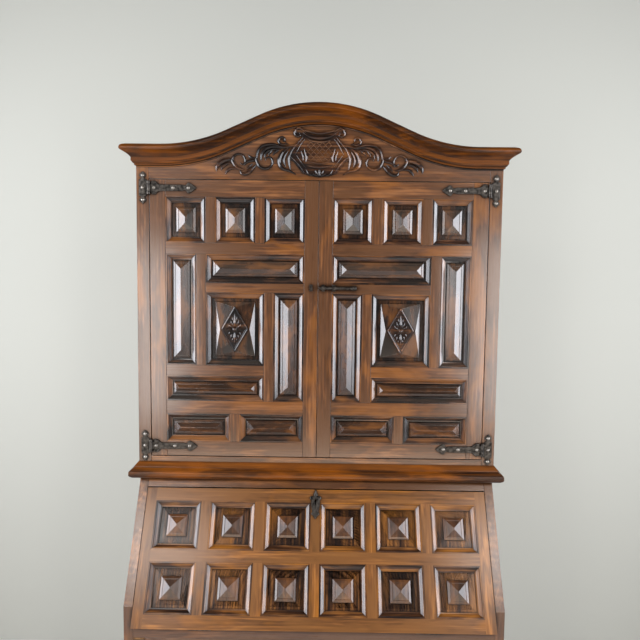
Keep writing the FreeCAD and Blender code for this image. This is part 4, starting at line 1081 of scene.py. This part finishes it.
@dataclass
class Turning:
    """Feet and knobs from the lathe."""

    finish: bpy.types.Material

    def feet(self) -> None:
        """Turns the bun feet: a short neck, a ring, and the bun."""
        section = [(0, 0), (22, 0), (30, 2.5), (37, 8), (42, 16), (44, 26), (43, 36), (39, 45), (33, 52),
                   (27.5, 56), (27, 58.5), (30, 59.5), (33, 62.5), (33, 66), (30, 69), (26.5, 70), (26, 73),
                   (29, 76), (29, 80), (0, 80)]
        foot = turned("foot", section, steps=48)
        foot.data.transform(Matrix.Scale(MM, 4))
        feet = copies(foot, [Matrix.Translation(Vector((*place, 0)) * MM) for place in FOOT_PLACES])
        whole = joined(feet, "turned_feet")
        Fixing("bun_feet", "cabinet", "walnut_turned", self.finish, upright=True).fix(whole)

    def knob(self, side: str) -> None:
        """Turns the knob of a gallery drawer and glues it to the front."""
        node = f"gallery_drawer_{side}"
        middle, size = middle_of(node)
        section = [(0, 0), (5, 0), (5, 1.2), (3.2, 2.2), (2.8, 5), (3.6, 6.6), (6, 8.2), (7, 10.4),
                   (6.4, 12.6), (4, 13.7), (0, KNOB_LENGTH)]
        piece = turned(f"turned_knob_{side}", section)
        Ground(Vector((middle.x, middle.y - size.y / 2 + KNOB_LENGTH, middle.z))).set_up(piece)
        Fixing(node, node, "walnut_turned", self.finish).fix(piece)


@dataclass
class Ironwork:
    """Forged hinges of doors and fall, the door bolt with its staples, and the key plate.

    A tab joins a leaf or strap to its barrel. Nail places are measured along the strap from its root, up and
    down from the middle of a leaf, and down from the head of the key plate.
    """

    finish: bpy.types.Material
    thickness: float = 3.0
    ease: float = 1.1
    tab: float = 2.6
    tab_ease: float = 0.3
    barrel_half: float = 9.9
    strap_root: float = 6.5
    strap_nails: Sequence[float] = (7.5, 60.5, 102.0)
    leaf_middle: float = 16.5
    leaf_nails: Sequence[float] = (-33.0, 0.0, 33.0)
    flap: float = 1.5
    flap_ease: float = 0.2
    key_plate_thickness: float = 2.2
    key_plate_nails: Sequence[float] = (-14.0, -53.0, -74.5)
    curls_out: float = 1.7

    def nail(self) -> bpy.types.Object:
        """A forged nail's head: eight hammered facets, rubbed bright."""
        nail = turned("nail", [(0, 0), (4.8, 0), (4.6, 1.0), (3.2, 2.6), (1.4, 3.4), (0, 3.5)], steps=8)
        rub(nail)
        return nail

    def knuckle(self, low: float, high: float) -> bpy.types.Object:
        """A length of the hinge's barrel, rolled round the pin."""
        section = [(0, low), (3.9, low), (4.5, low + 0.7), (4.5, high - 0.7), (3.9, high), (0, high)]
        piece = turned("knuckle", section, steps=20)
        piece.data.transform(move(HINGE_X, 0, PIN_OUT) @ STANDING)
        return piece

    def strap(self) -> list[bpy.types.Object]:
        """The strap on the right door: flared root, bar and arrow head, with its nails and barrel."""
        half = [(0, 10), (2, 18), (7, 18), (13, 13), (20, 9.4), (31, 8.2), (86, 8.2), (90, 5.8), (95, 6.2),
                (99, 12), (103, 15), (108, 11.5), (115, 7.5), (124, 0)]
        start, edge = HINGE_X - self.strap_root, self.barrel_half
        outline = [(start - along, up) for along, up in half]
        outline += [(right, -up) for right, up in outline[-2::-1]]
        nails = copies(self.nail(), [move(start - along, 0, self.thickness) for along in self.strap_nails])
        tab = plate("tab", [(HINGE_X, -edge), (HINGE_X, edge), (start - 2, edge), (start - 2, -edge)],
                    self.tab, self.tab_ease)
        curls = carved("strap_curls", [
            Stroke([(start - 22, 8 * way), (start - 15, 12 * way), (start - 11, 16 * way),
                    (start - 5, 15 * way)], (0.6, 1.7, 2.0, 1.4)) for way in (-1, 1)])
        curls.data.transform(move(out=self.thickness - 0.5))
        strap = plate("strap", outline, self.thickness, self.ease)
        return [strap, self.knuckle(-edge, edge), tab, curls] + nails

    def leaf(self) -> list[bpy.types.Object]:
        """The leaf on the right stile: pointed at both ends, with three nails and its two barrels."""
        middle = HINGE_X + self.leaf_middle
        half = [(10, 21), (7.5, 23.5), (3.8, 24.5), (3.8, 26.5), (6.5, 29), (9.6, 33), (6.4, 38), (0, 44)]
        quarter = [(middle + right, up) for right, up in half]
        upper = quarter + [(2 * middle - right, up) for right, up in quarter[-2::-1]]
        outline = upper + [(right, -up) for right, up in upper[::-1]]
        nails = copies(self.nail(), [move(middle, up, self.thickness) for up in self.leaf_nails])
        section = [(0, -18.4), (1.6, -18.4), (2, -17.8), (2, 17.8), (1.6, 18.4), (0, 18.4)]
        pin = turned("pin", section, steps=12)
        pin.data.transform(move(HINGE_X, 0, PIN_OUT) @ STANDING)
        pieces = [plate("leaf", outline, self.thickness, self.ease), pin] + nails
        for low, high in ((-18, -10.2), (10.2, 18)):
            pieces.append(self.knuckle(low, high))
            corners = [(HINGE_X, low), (HINGE_X + 9, low), (HINGE_X + 9, high), (HINGE_X, high)]
            pieces.append(plate("tab", corners, self.tab, self.tab_ease))
        return pieces

    def staple(self, right: float) -> bpy.types.Object:
        """A staple that the bolt slides through, bent from flat bar, with its two feet."""
        outer = [(9, 0), (9, 1.8), (6.4, 2), (6.4, 8), (4.4, 11.2), (0, 12)]
        inner = [(3.4, 10.1), (4.9, 7.4), (4.9, 0)]
        outline = outer + [(-aside, out) for aside, out in outer[-2::-1]]
        outline += [(-aside, out) for aside, out in inner[::-1]] + [(0, 11.1)] + inner
        piece = plate("staple", outline, 8.0, 0.3)
        turn = Matrix(((0, 0, 1, right - 4), (1, 0, 0, 0), (0, 1, 0, 0), (0, 0, 0, 1)))
        piece.data.transform(turn)
        return piece

    def desk_leaf(self, place: float) -> list[bpy.types.Object]:
        """A leaf let into the writing board, with the pin and the barrel's two ends of the fall's hinge."""
        pieces = [plate("desk_leaf", [(-30, 2.8), (30, 2.8), (30, 24.6), (-30, 24.6)], self.flap,
                        self.flap_ease)]
        pieces.append(turned("pin", [(0, -30), (1.2, -30), (1.2, 30), (0, 30)], steps=12))
        pieces[-1].data.transform(LYING)
        for low, high in ((-30.0, -14.2), (14.2, 30.0)):
            corners = [(low, 0), (high, 0), (high, 12), (low, 12)]
            pieces.append(plate("tab", corners, self.flap, self.flap_ease))
            section = [(0, low), (2.2, low), (2.5, low + 0.4), (2.5, high - 0.4), (2.2, high), (0, high)]
            barrel = turned("barrel", section, steps=16)
            barrel.data.transform(LYING)
            pieces.append(barrel)
        for piece in pieces:
            flat = piece.name.startswith(("desk_leaf", "tab"))
            piece.data.transform(move(right=place, out=-self.flap if flat else 0.0))
        return pieces

    def key_plate(self) -> None:
        """The key plate on the fall: a scrolled outline with curled shoulders, nails and a keyhole."""
        half = [(2.2, -3), (1.8, -7), (4.6, -9.5), (6, -14), (4.2, -18), (8, -19), (13, -18), (15, -22),
                (14, -27), (11.2, -30), (12, -35), (11.6, -46), (9.6, -55), (8, -61.5), (10.8, -64),
                (10.8, -68), (7, -70), (4, -74)]
        outline = [(0, 0)] + half + [(0, -80)] + [(-aside, up) for aside, up in half[::-1]]
        thickness = self.key_plate_thickness
        body = plate("key_plate", outline, thickness, 0.7)
        bore = turned("bore", [(0, -4), (3.4, -4), (3.4, 8), (0, 8)], steps=16)
        bore.data.transform(move(up=-KEYHOLE_DROP + 2.0))
        slit = plate("slit", [(-1.5, 1), (1.5, 1), (2.2, -10), (-2.2, -10)], 12, 0.05)
        slit.data.transform(move(up=-KEYHOLE_DROP, out=-4))
        for cutter in (bore, slit):
            work_on(body)
            modify(body, "BOOLEAN", object=cutter)
            bpy.data.objects.remove(cutter)
        left = [Stroke([(4, -20), (9, -19.4), (13.4, -21), (13.8, -25.5), (10.6, -27), (9.4, -24)],
                       (0.7, 1.5, 1.6, 1.4, 1.2, 0.4)),
                Stroke([(5, -62), (8.6, -64), (9.4, -67), (7, -68.6)], (0.5, 1.2, 1.3, 0.4)),
                Stroke([(0, -3), (1.4, -10), (3.6, -15), (1.8, -19)], (0.6, 1.0, 1.2, 0.4))]
        curls = carved("curls", left + [stroke.mirrored() for stroke in left])
        curls.data.transform(move(out=self.curls_out))
        nail = turned("nail", [(0, 0), (2.2, 0), (1.6, 1.1), (0, 1.5)], steps=8)
        nails = copies(nail, [move(up=up, out=thickness) for up in self.key_plate_nails])
        whole = joined([body, curls] + nails, "iron_key_plate")
        Ground(FALL_FOOT + SLANT_UP * FALL_LENGTH, FALL_LEAN).set_up(whole)
        Fixing("fall_escutcheon", "fall", "forged_iron", self.finish).fix(whole)

    def doors(self) -> None:
        """Fits the straps, the leaves of the doors' and the fall's hinges, the staples and the bolt."""
        ground = Ground(Vector((0, FRONT_Y, DOOR_FOOT)))
        strap = joined(self.strap(), "strap")
        leaf = joined(self.leaf(), "leaf")
        leaves = [copy_of(leaf, move(up=up) @ side) for up in HINGE_HEIGHTS for side in (Matrix(), MIRROR)]
        for side, turn, staples in (("right", Matrix(), (14.0, 44.0)), ("left", MIRROR, (-19.5,))):
            straps = [copy_of(strap, move(up=up) @ turn) for up in HINGE_HEIGHTS]
            for right in staples:
                straps.append(self.staple(right))
                straps[-1].data.transform(move(up=BOLT_HEIGHT))
            whole = joined(straps, f"iron_straps_{side}")
            ground.set_up(whole)
            Fixing(f"door_{side}_ironwork", f"door_{side}", "forged_iron", self.finish).fix(whole)
        bpy.data.objects.remove(strap)
        bpy.data.objects.remove(leaf)
        whole = joined(leaves, "iron_hinge_leaves")
        ground.set_up(whole)
        flaps = joined([part for place in FLAP_PLACES for part in self.desk_leaf(place)], "desk_leaves")
        Ground(FALL_AXIS, math.pi / 2).set_up(flaps)
        whole = joined([whole, flaps], whole.name)
        Fixing("fixed_hinge_leaves", "cabinet", "forged_iron", self.finish).fix(whole)
        rod = turned("iron_bolt", [(0, 4), (3.2, 4), (4.4, 5.5), (4.4, 60), (4.4, 92), (5.6, 94), (5.6, 95.5),
                                   (4.2, 97), (5.8, 98.5), (6.3, 101.5), (5.8, 104), (3.8, 106), (0, 106)])
        rod.data.transform(move(0, BOLT_HEIGHT, BOLT_OUT) @ LYING)
        ground.set_up(rod)
        Fixing("door_bolt_rod", "door_bolt", "forged_iron", self.finish).fix(rod)


@dataclass
class Room:
    """A plain wall behind the cabinet and a plain floor."""

    wall_y: float = 0.9
    half_width: float = 4.0
    front_y: float = -4.5
    height: float = 3.4

    def plane(self, name: str, corners: Sequence[Place], finish: RoomFinish) -> None:
        """Adds one flat surface that isn't part of the cabinet.

        Args:
            name: What it is.
            corners: Its four corners.
            finish: Its paint.
        """
        deselect()
        bpy.ops.mesh.primitive_plane_add()
        surface = bpy.context.object
        surface.name = name
        for vertex, corner in zip((0, 1, 3, 2), corners):
            surface.data.vertices[vertex].co = corner
        surface.data.materials.append(finish.material())

    def build(self) -> None:
        """Makes the wall and the floor."""
        w, y, f, h = self.half_width, self.wall_y, self.front_y, self.height
        paint, floor = RoomFinish("matt_wall_paint", "#bdbeb6"), RoomFinish("pale_floor", "#cfcdc9")
        self.plane("wall", [(-w, y, 0), (w, y, 0), (w, y, h), (-w, y, h)], paint)
        self.plane("floor", [(-w, f, 0), (w, f, 0), (w, y, 0), (-w, y, 0)], floor)


@dataclass(frozen=True)
class SoftWindow:
    """A soft light: its middle, width and height in metres, its watts, its colour and what it faces."""

    name: str
    centre: Place
    size: tuple[float, float]
    power: float
    colour: str
    aim: Place = (0, -0.1, 1.5)
    spread: float = math.radians(150)

    def build(self) -> None:
        """Hangs the light and turns it."""
        lamp = bpy.data.lights.new(self.name, "AREA")
        lamp.shape = "RECTANGLE"
        lamp.size, lamp.size_y = self.size
        lamp.energy = self.power
        lamp.spread = self.spread
        lamp.color = linear(self.colour)[:3]
        holder = placed(self.name, lamp)
        centre = Vector(self.centre)
        turn = (Vector(self.aim) - centre).to_track_quat("-Z", "Y")
        holder.matrix_world = Matrix.Translation(centre) @ turn.to_matrix().to_4x4()


WINDOWS = (
    SoftWindow("side_window_left", (-2.3, -0.75, 1.75), (1.6, 1.9), 62.0, "#f1f4fc"),
    SoftWindow("side_window_right", (2.3, -0.75, 1.75), (1.6, 1.9), 57.0, "#f1f4fc"),
    SoftWindow("front_window_left", (-2.2, -2.6, 1.9), (0.5, 1.6), 11.0, "#f3f4f6"),
    SoftWindow("front_window_right", (2.2, -2.6, 1.9), (0.5, 1.6), 10.0, "#f3f4f6"),
    SoftWindow("back_window_left", (-1.38, -3.3, 1.15), (0.4, 1.4), 9.5, "#f8f4f0"),
    SoftWindow("back_window_right", (1.42, -3.3, 1.2), (0.4, 1.5), 9.5, "#f8f4f0"),
    SoftWindow("high_window_left", (-1.4, -3.3, 3.1), (0.9, 0.7), 10.0, "#f8f4f0"),
    SoftWindow("high_window_right", (1.5, -3.3, 3.1), (0.7, 0.7), 8.0, "#f8f4f0"),
    SoftWindow("ceiling", (0, -1.1, 3.2), (2.6, 0.8), 2.0, "#fff0dc", aim=(0, 0.1, 1.6)),
    SoftWindow("sunlit_floor", (0, -2.3, 0.1), (2.6, 0.7), 13.0, "#fff0dc"),
)


@dataclass
class Studio:
    """The windows, ceiling and sunlit floor that light the room, the air, and the photograph's camera."""

    eye: Vector = field(default_factory=lambda: Vector((19.4, -1788.5, 1675.5)) * MM)
    yaw: float = math.radians(-0.43)
    pitch: float = math.radians(4.55)
    roll: float = math.radians(-0.67)
    focal_pixels: float = 625.98
    picture_pixels: float = 640.0
    sensor_mm: float = 36.0
    air: str = "#d8d6d3"
    air_light: float = 0.06
    air_seen: float = 0.9

    def build(self) -> None:
        """Lights the room and sets the camera."""
        for window in WINDOWS:
            window.build()
        world = bpy.context.scene.world or bpy.data.worlds.new("room")
        bpy.context.scene.world = world
        world.use_nodes = True
        tree = world.node_tree
        tree.nodes.clear()
        seen = add_node(tree, "LightPath").outputs["Is Camera Ray"]
        strength = add_node(tree, "MapRange", {"Value": seen, "To Min": self.air_light,
                                               "To Max": self.air_seen}).outputs[0]
        air = add_node(tree, "Background", {"Color": linear(self.air), "Strength": strength})
        add_node(tree, "OutputWorld", {"Surface": air.outputs[0]})
        bpy.context.scene.view_settings.view_transform = "Standard"
        self.camera()

    def camera(self) -> None:
        """Puts the camera where the photograph was taken."""
        ahead = Vector((math.sin(self.yaw) * math.cos(self.pitch), math.cos(self.yaw) * math.cos(self.pitch),
                        -math.sin(self.pitch)))
        right = Vector((math.cos(self.yaw), -math.sin(self.yaw), 0))
        down = ahead.cross(right)
        picture_right = math.cos(self.roll) * right + math.sin(self.roll) * down
        picture_up = math.sin(self.roll) * right - math.cos(self.roll) * down
        lens = bpy.data.cameras.new("camera")
        lens.sensor_width = self.sensor_mm
        lens.lens = self.focal_pixels / self.picture_pixels * self.sensor_mm
        holder = placed("camera", lens)
        turn = Matrix((picture_right, picture_up, -ahead)).transposed().to_4x4()
        holder.matrix_world = Matrix.Translation(self.eye) @ turn
        bpy.context.scene.camera = holder


@dataclass
class Carcass:
    """The two cases: boards, rails, mouldings, feet and what stands inside."""

    walnut: bpy.types.Material
    runs: bpy.types.Material
    pine: bpy.types.Material

    def build(self) -> None:
        """Dresses the boards that don't move."""
        for node in ("lower_side_left", "lower_side_right", "upper_side_left", "upper_side_right"):
            Joinery(node, "cabinet", "walnut_side_boards", self.walnut, edge_mm=1.2).build()
        for node in ("desk_top_board", "slope_rail", "desk_floor", "drawer_rails", "gallery_case",
                     "upper_floor_board", "upper_top_board", "upper_shelves", "face_frame", "frieze_board"):
            Joinery(node, "cabinet", "walnut_boards", self.walnut, edge_mm=1.2).build()
        for node in ("plinth_moulding", "waist_moulding", "cornice"):
            Joinery(node, "cabinet", "walnut_mouldings_run", self.runs, edge_mm=0.7).build()
        Turning(self.walnut).feet()
        for node in ("lower_back", "upper_back", "drawer_runners"):
            Joinery(node, "cabinet", "pine_inner_boards", self.pine, edge_mm=0.8).build()


def main() -> None:
    """Makes the finishes, the room and its light, and every piece in order."""
    logging.basicConfig(level=logging.INFO, format="%(message)s")
    walnut = WalnutFinish("waxed_walnut").material()
    framing = WalnutFinish("waxed_walnut_framing").material()
    runs = WalnutFinish("waxed_walnut_mouldings", light="#945315", middle="#4c280a", amber="#834509",
                        coat=0.2, shine=0.12, roughness=0.32, contrast=0.42, amber_share=0.6,
                        patina_share=0.6).material()
    soft = WalnutFinish("waxed_walnut_fall", light="#a36c37", middle="#5c381e", amber="#99601f",
                        patina_share=0.75, coat=0.6, roughness=0.36).material()
    carving = WalnutFinish("waxed_walnut_carving", coat=0.55, roughness=0.34, worn_share=0.9).material()
    panel = WalnutFinish("waxed_walnut_panels", light="#6e4628", middle="#452b1a", dark="#281811",
                         roughness=0.2, worn_share=0.1, blotch_mm=60.0, contrast=0.3,
                         amber_share=0.4).material()
    soft_panel = WalnutFinish("waxed_walnut_fall_panels", light="#785030", middle="#4b3020", dark="#2c1b13",
                              coat=0.6, roughness=0.32, worn_share=0.1, blotch_mm=60.0, contrast=0.25,
                              patina_share=0.6, amber_share=0.3).material()
    pine = WalnutFinish("aged_pine", light="#a5794a", middle="#86603a", dark="#684526", patina="#4f3a26",
                        amber="#8f5c2c", roughness=0.6, patina_share=0.3, worn_share=0.0, coat=0.1).material()
    iron = ForgedIron("blackened_forged_iron").material()
    Room().build()
    Studio().build()
    Carcass(walnut, runs, pine).build()
    Pediment(carving).build()
    for side in ("left", "right"):
        body = f"door_{side}"
        Joinery(f"{body}_frame", body, "walnut_framing", framing, edge_mm=1.1).build()
        Joinery(f"{body}_panels", body, "walnut_panels", panel, edge_mm=0.25, tone_spread=0.3,
                smooth_degrees=5).build()
        CofferMouldings(f"{body}_mouldings", body, framing, Ground(Vector((0, FRONT_Y, DOOR_FOOT)))).build()
        Rosette(side, carving).build()
        Joinery(f"loper_{side}", f"loper_{side}", "walnut_boards", walnut).build()
        Joinery(f"gallery_drawer_{side}", f"gallery_drawer_{side}", "walnut_boards", walnut, edge_mm=0.8,
                boards=5).build()
        Turning(walnut).knob(side)
    ironwork = Ironwork(iron)
    ironwork.doors()
    ironwork.key_plate()
    Joinery("fall_frame", "fall", "walnut_framing", soft, stand=Stand.SLANTED, edge_mm=0.8).build()
    Joinery("fall_panels", "fall", "walnut_panels", soft_panel, stand=Stand.SLANTED, edge_mm=0.25,
            tone_spread=0.3, smooth_degrees=5).build()
    CofferMouldings("fall_mouldings", "fall", soft, Ground(FALL_FOOT, FALL_LEAN)).build()
    for node, slot in (("fall_lock_case", "forged_iron_lock"), ("fall_hinge_flaps", "forged_iron")):
        DressedIron(node, "fall", slot, iron).build()
    DressedIron("fall_lock_bolt", "fall_bolt", "forged_iron_lock", iron).build()
    for level in ("bottom", "middle", "top"):
        body = f"drawer_{level}"
        Joinery(f"{body}_front", body, "walnut_drawer_fronts", framing, edge_mm=0.6).build()
        Joinery(f"{body}_box", body, "pine_inner_boards", pine, edge_mm=0.8).build()
        DressedIron(f"{body}_pull_plates", body, "forged_iron", iron).build()
        for side in ("left", "right"):
            DressedIron(f"{body}_drop_{side}", f"{body}_drop_{side}", "forged_iron", iron).build()


if __name__ == "__main__":
    main()
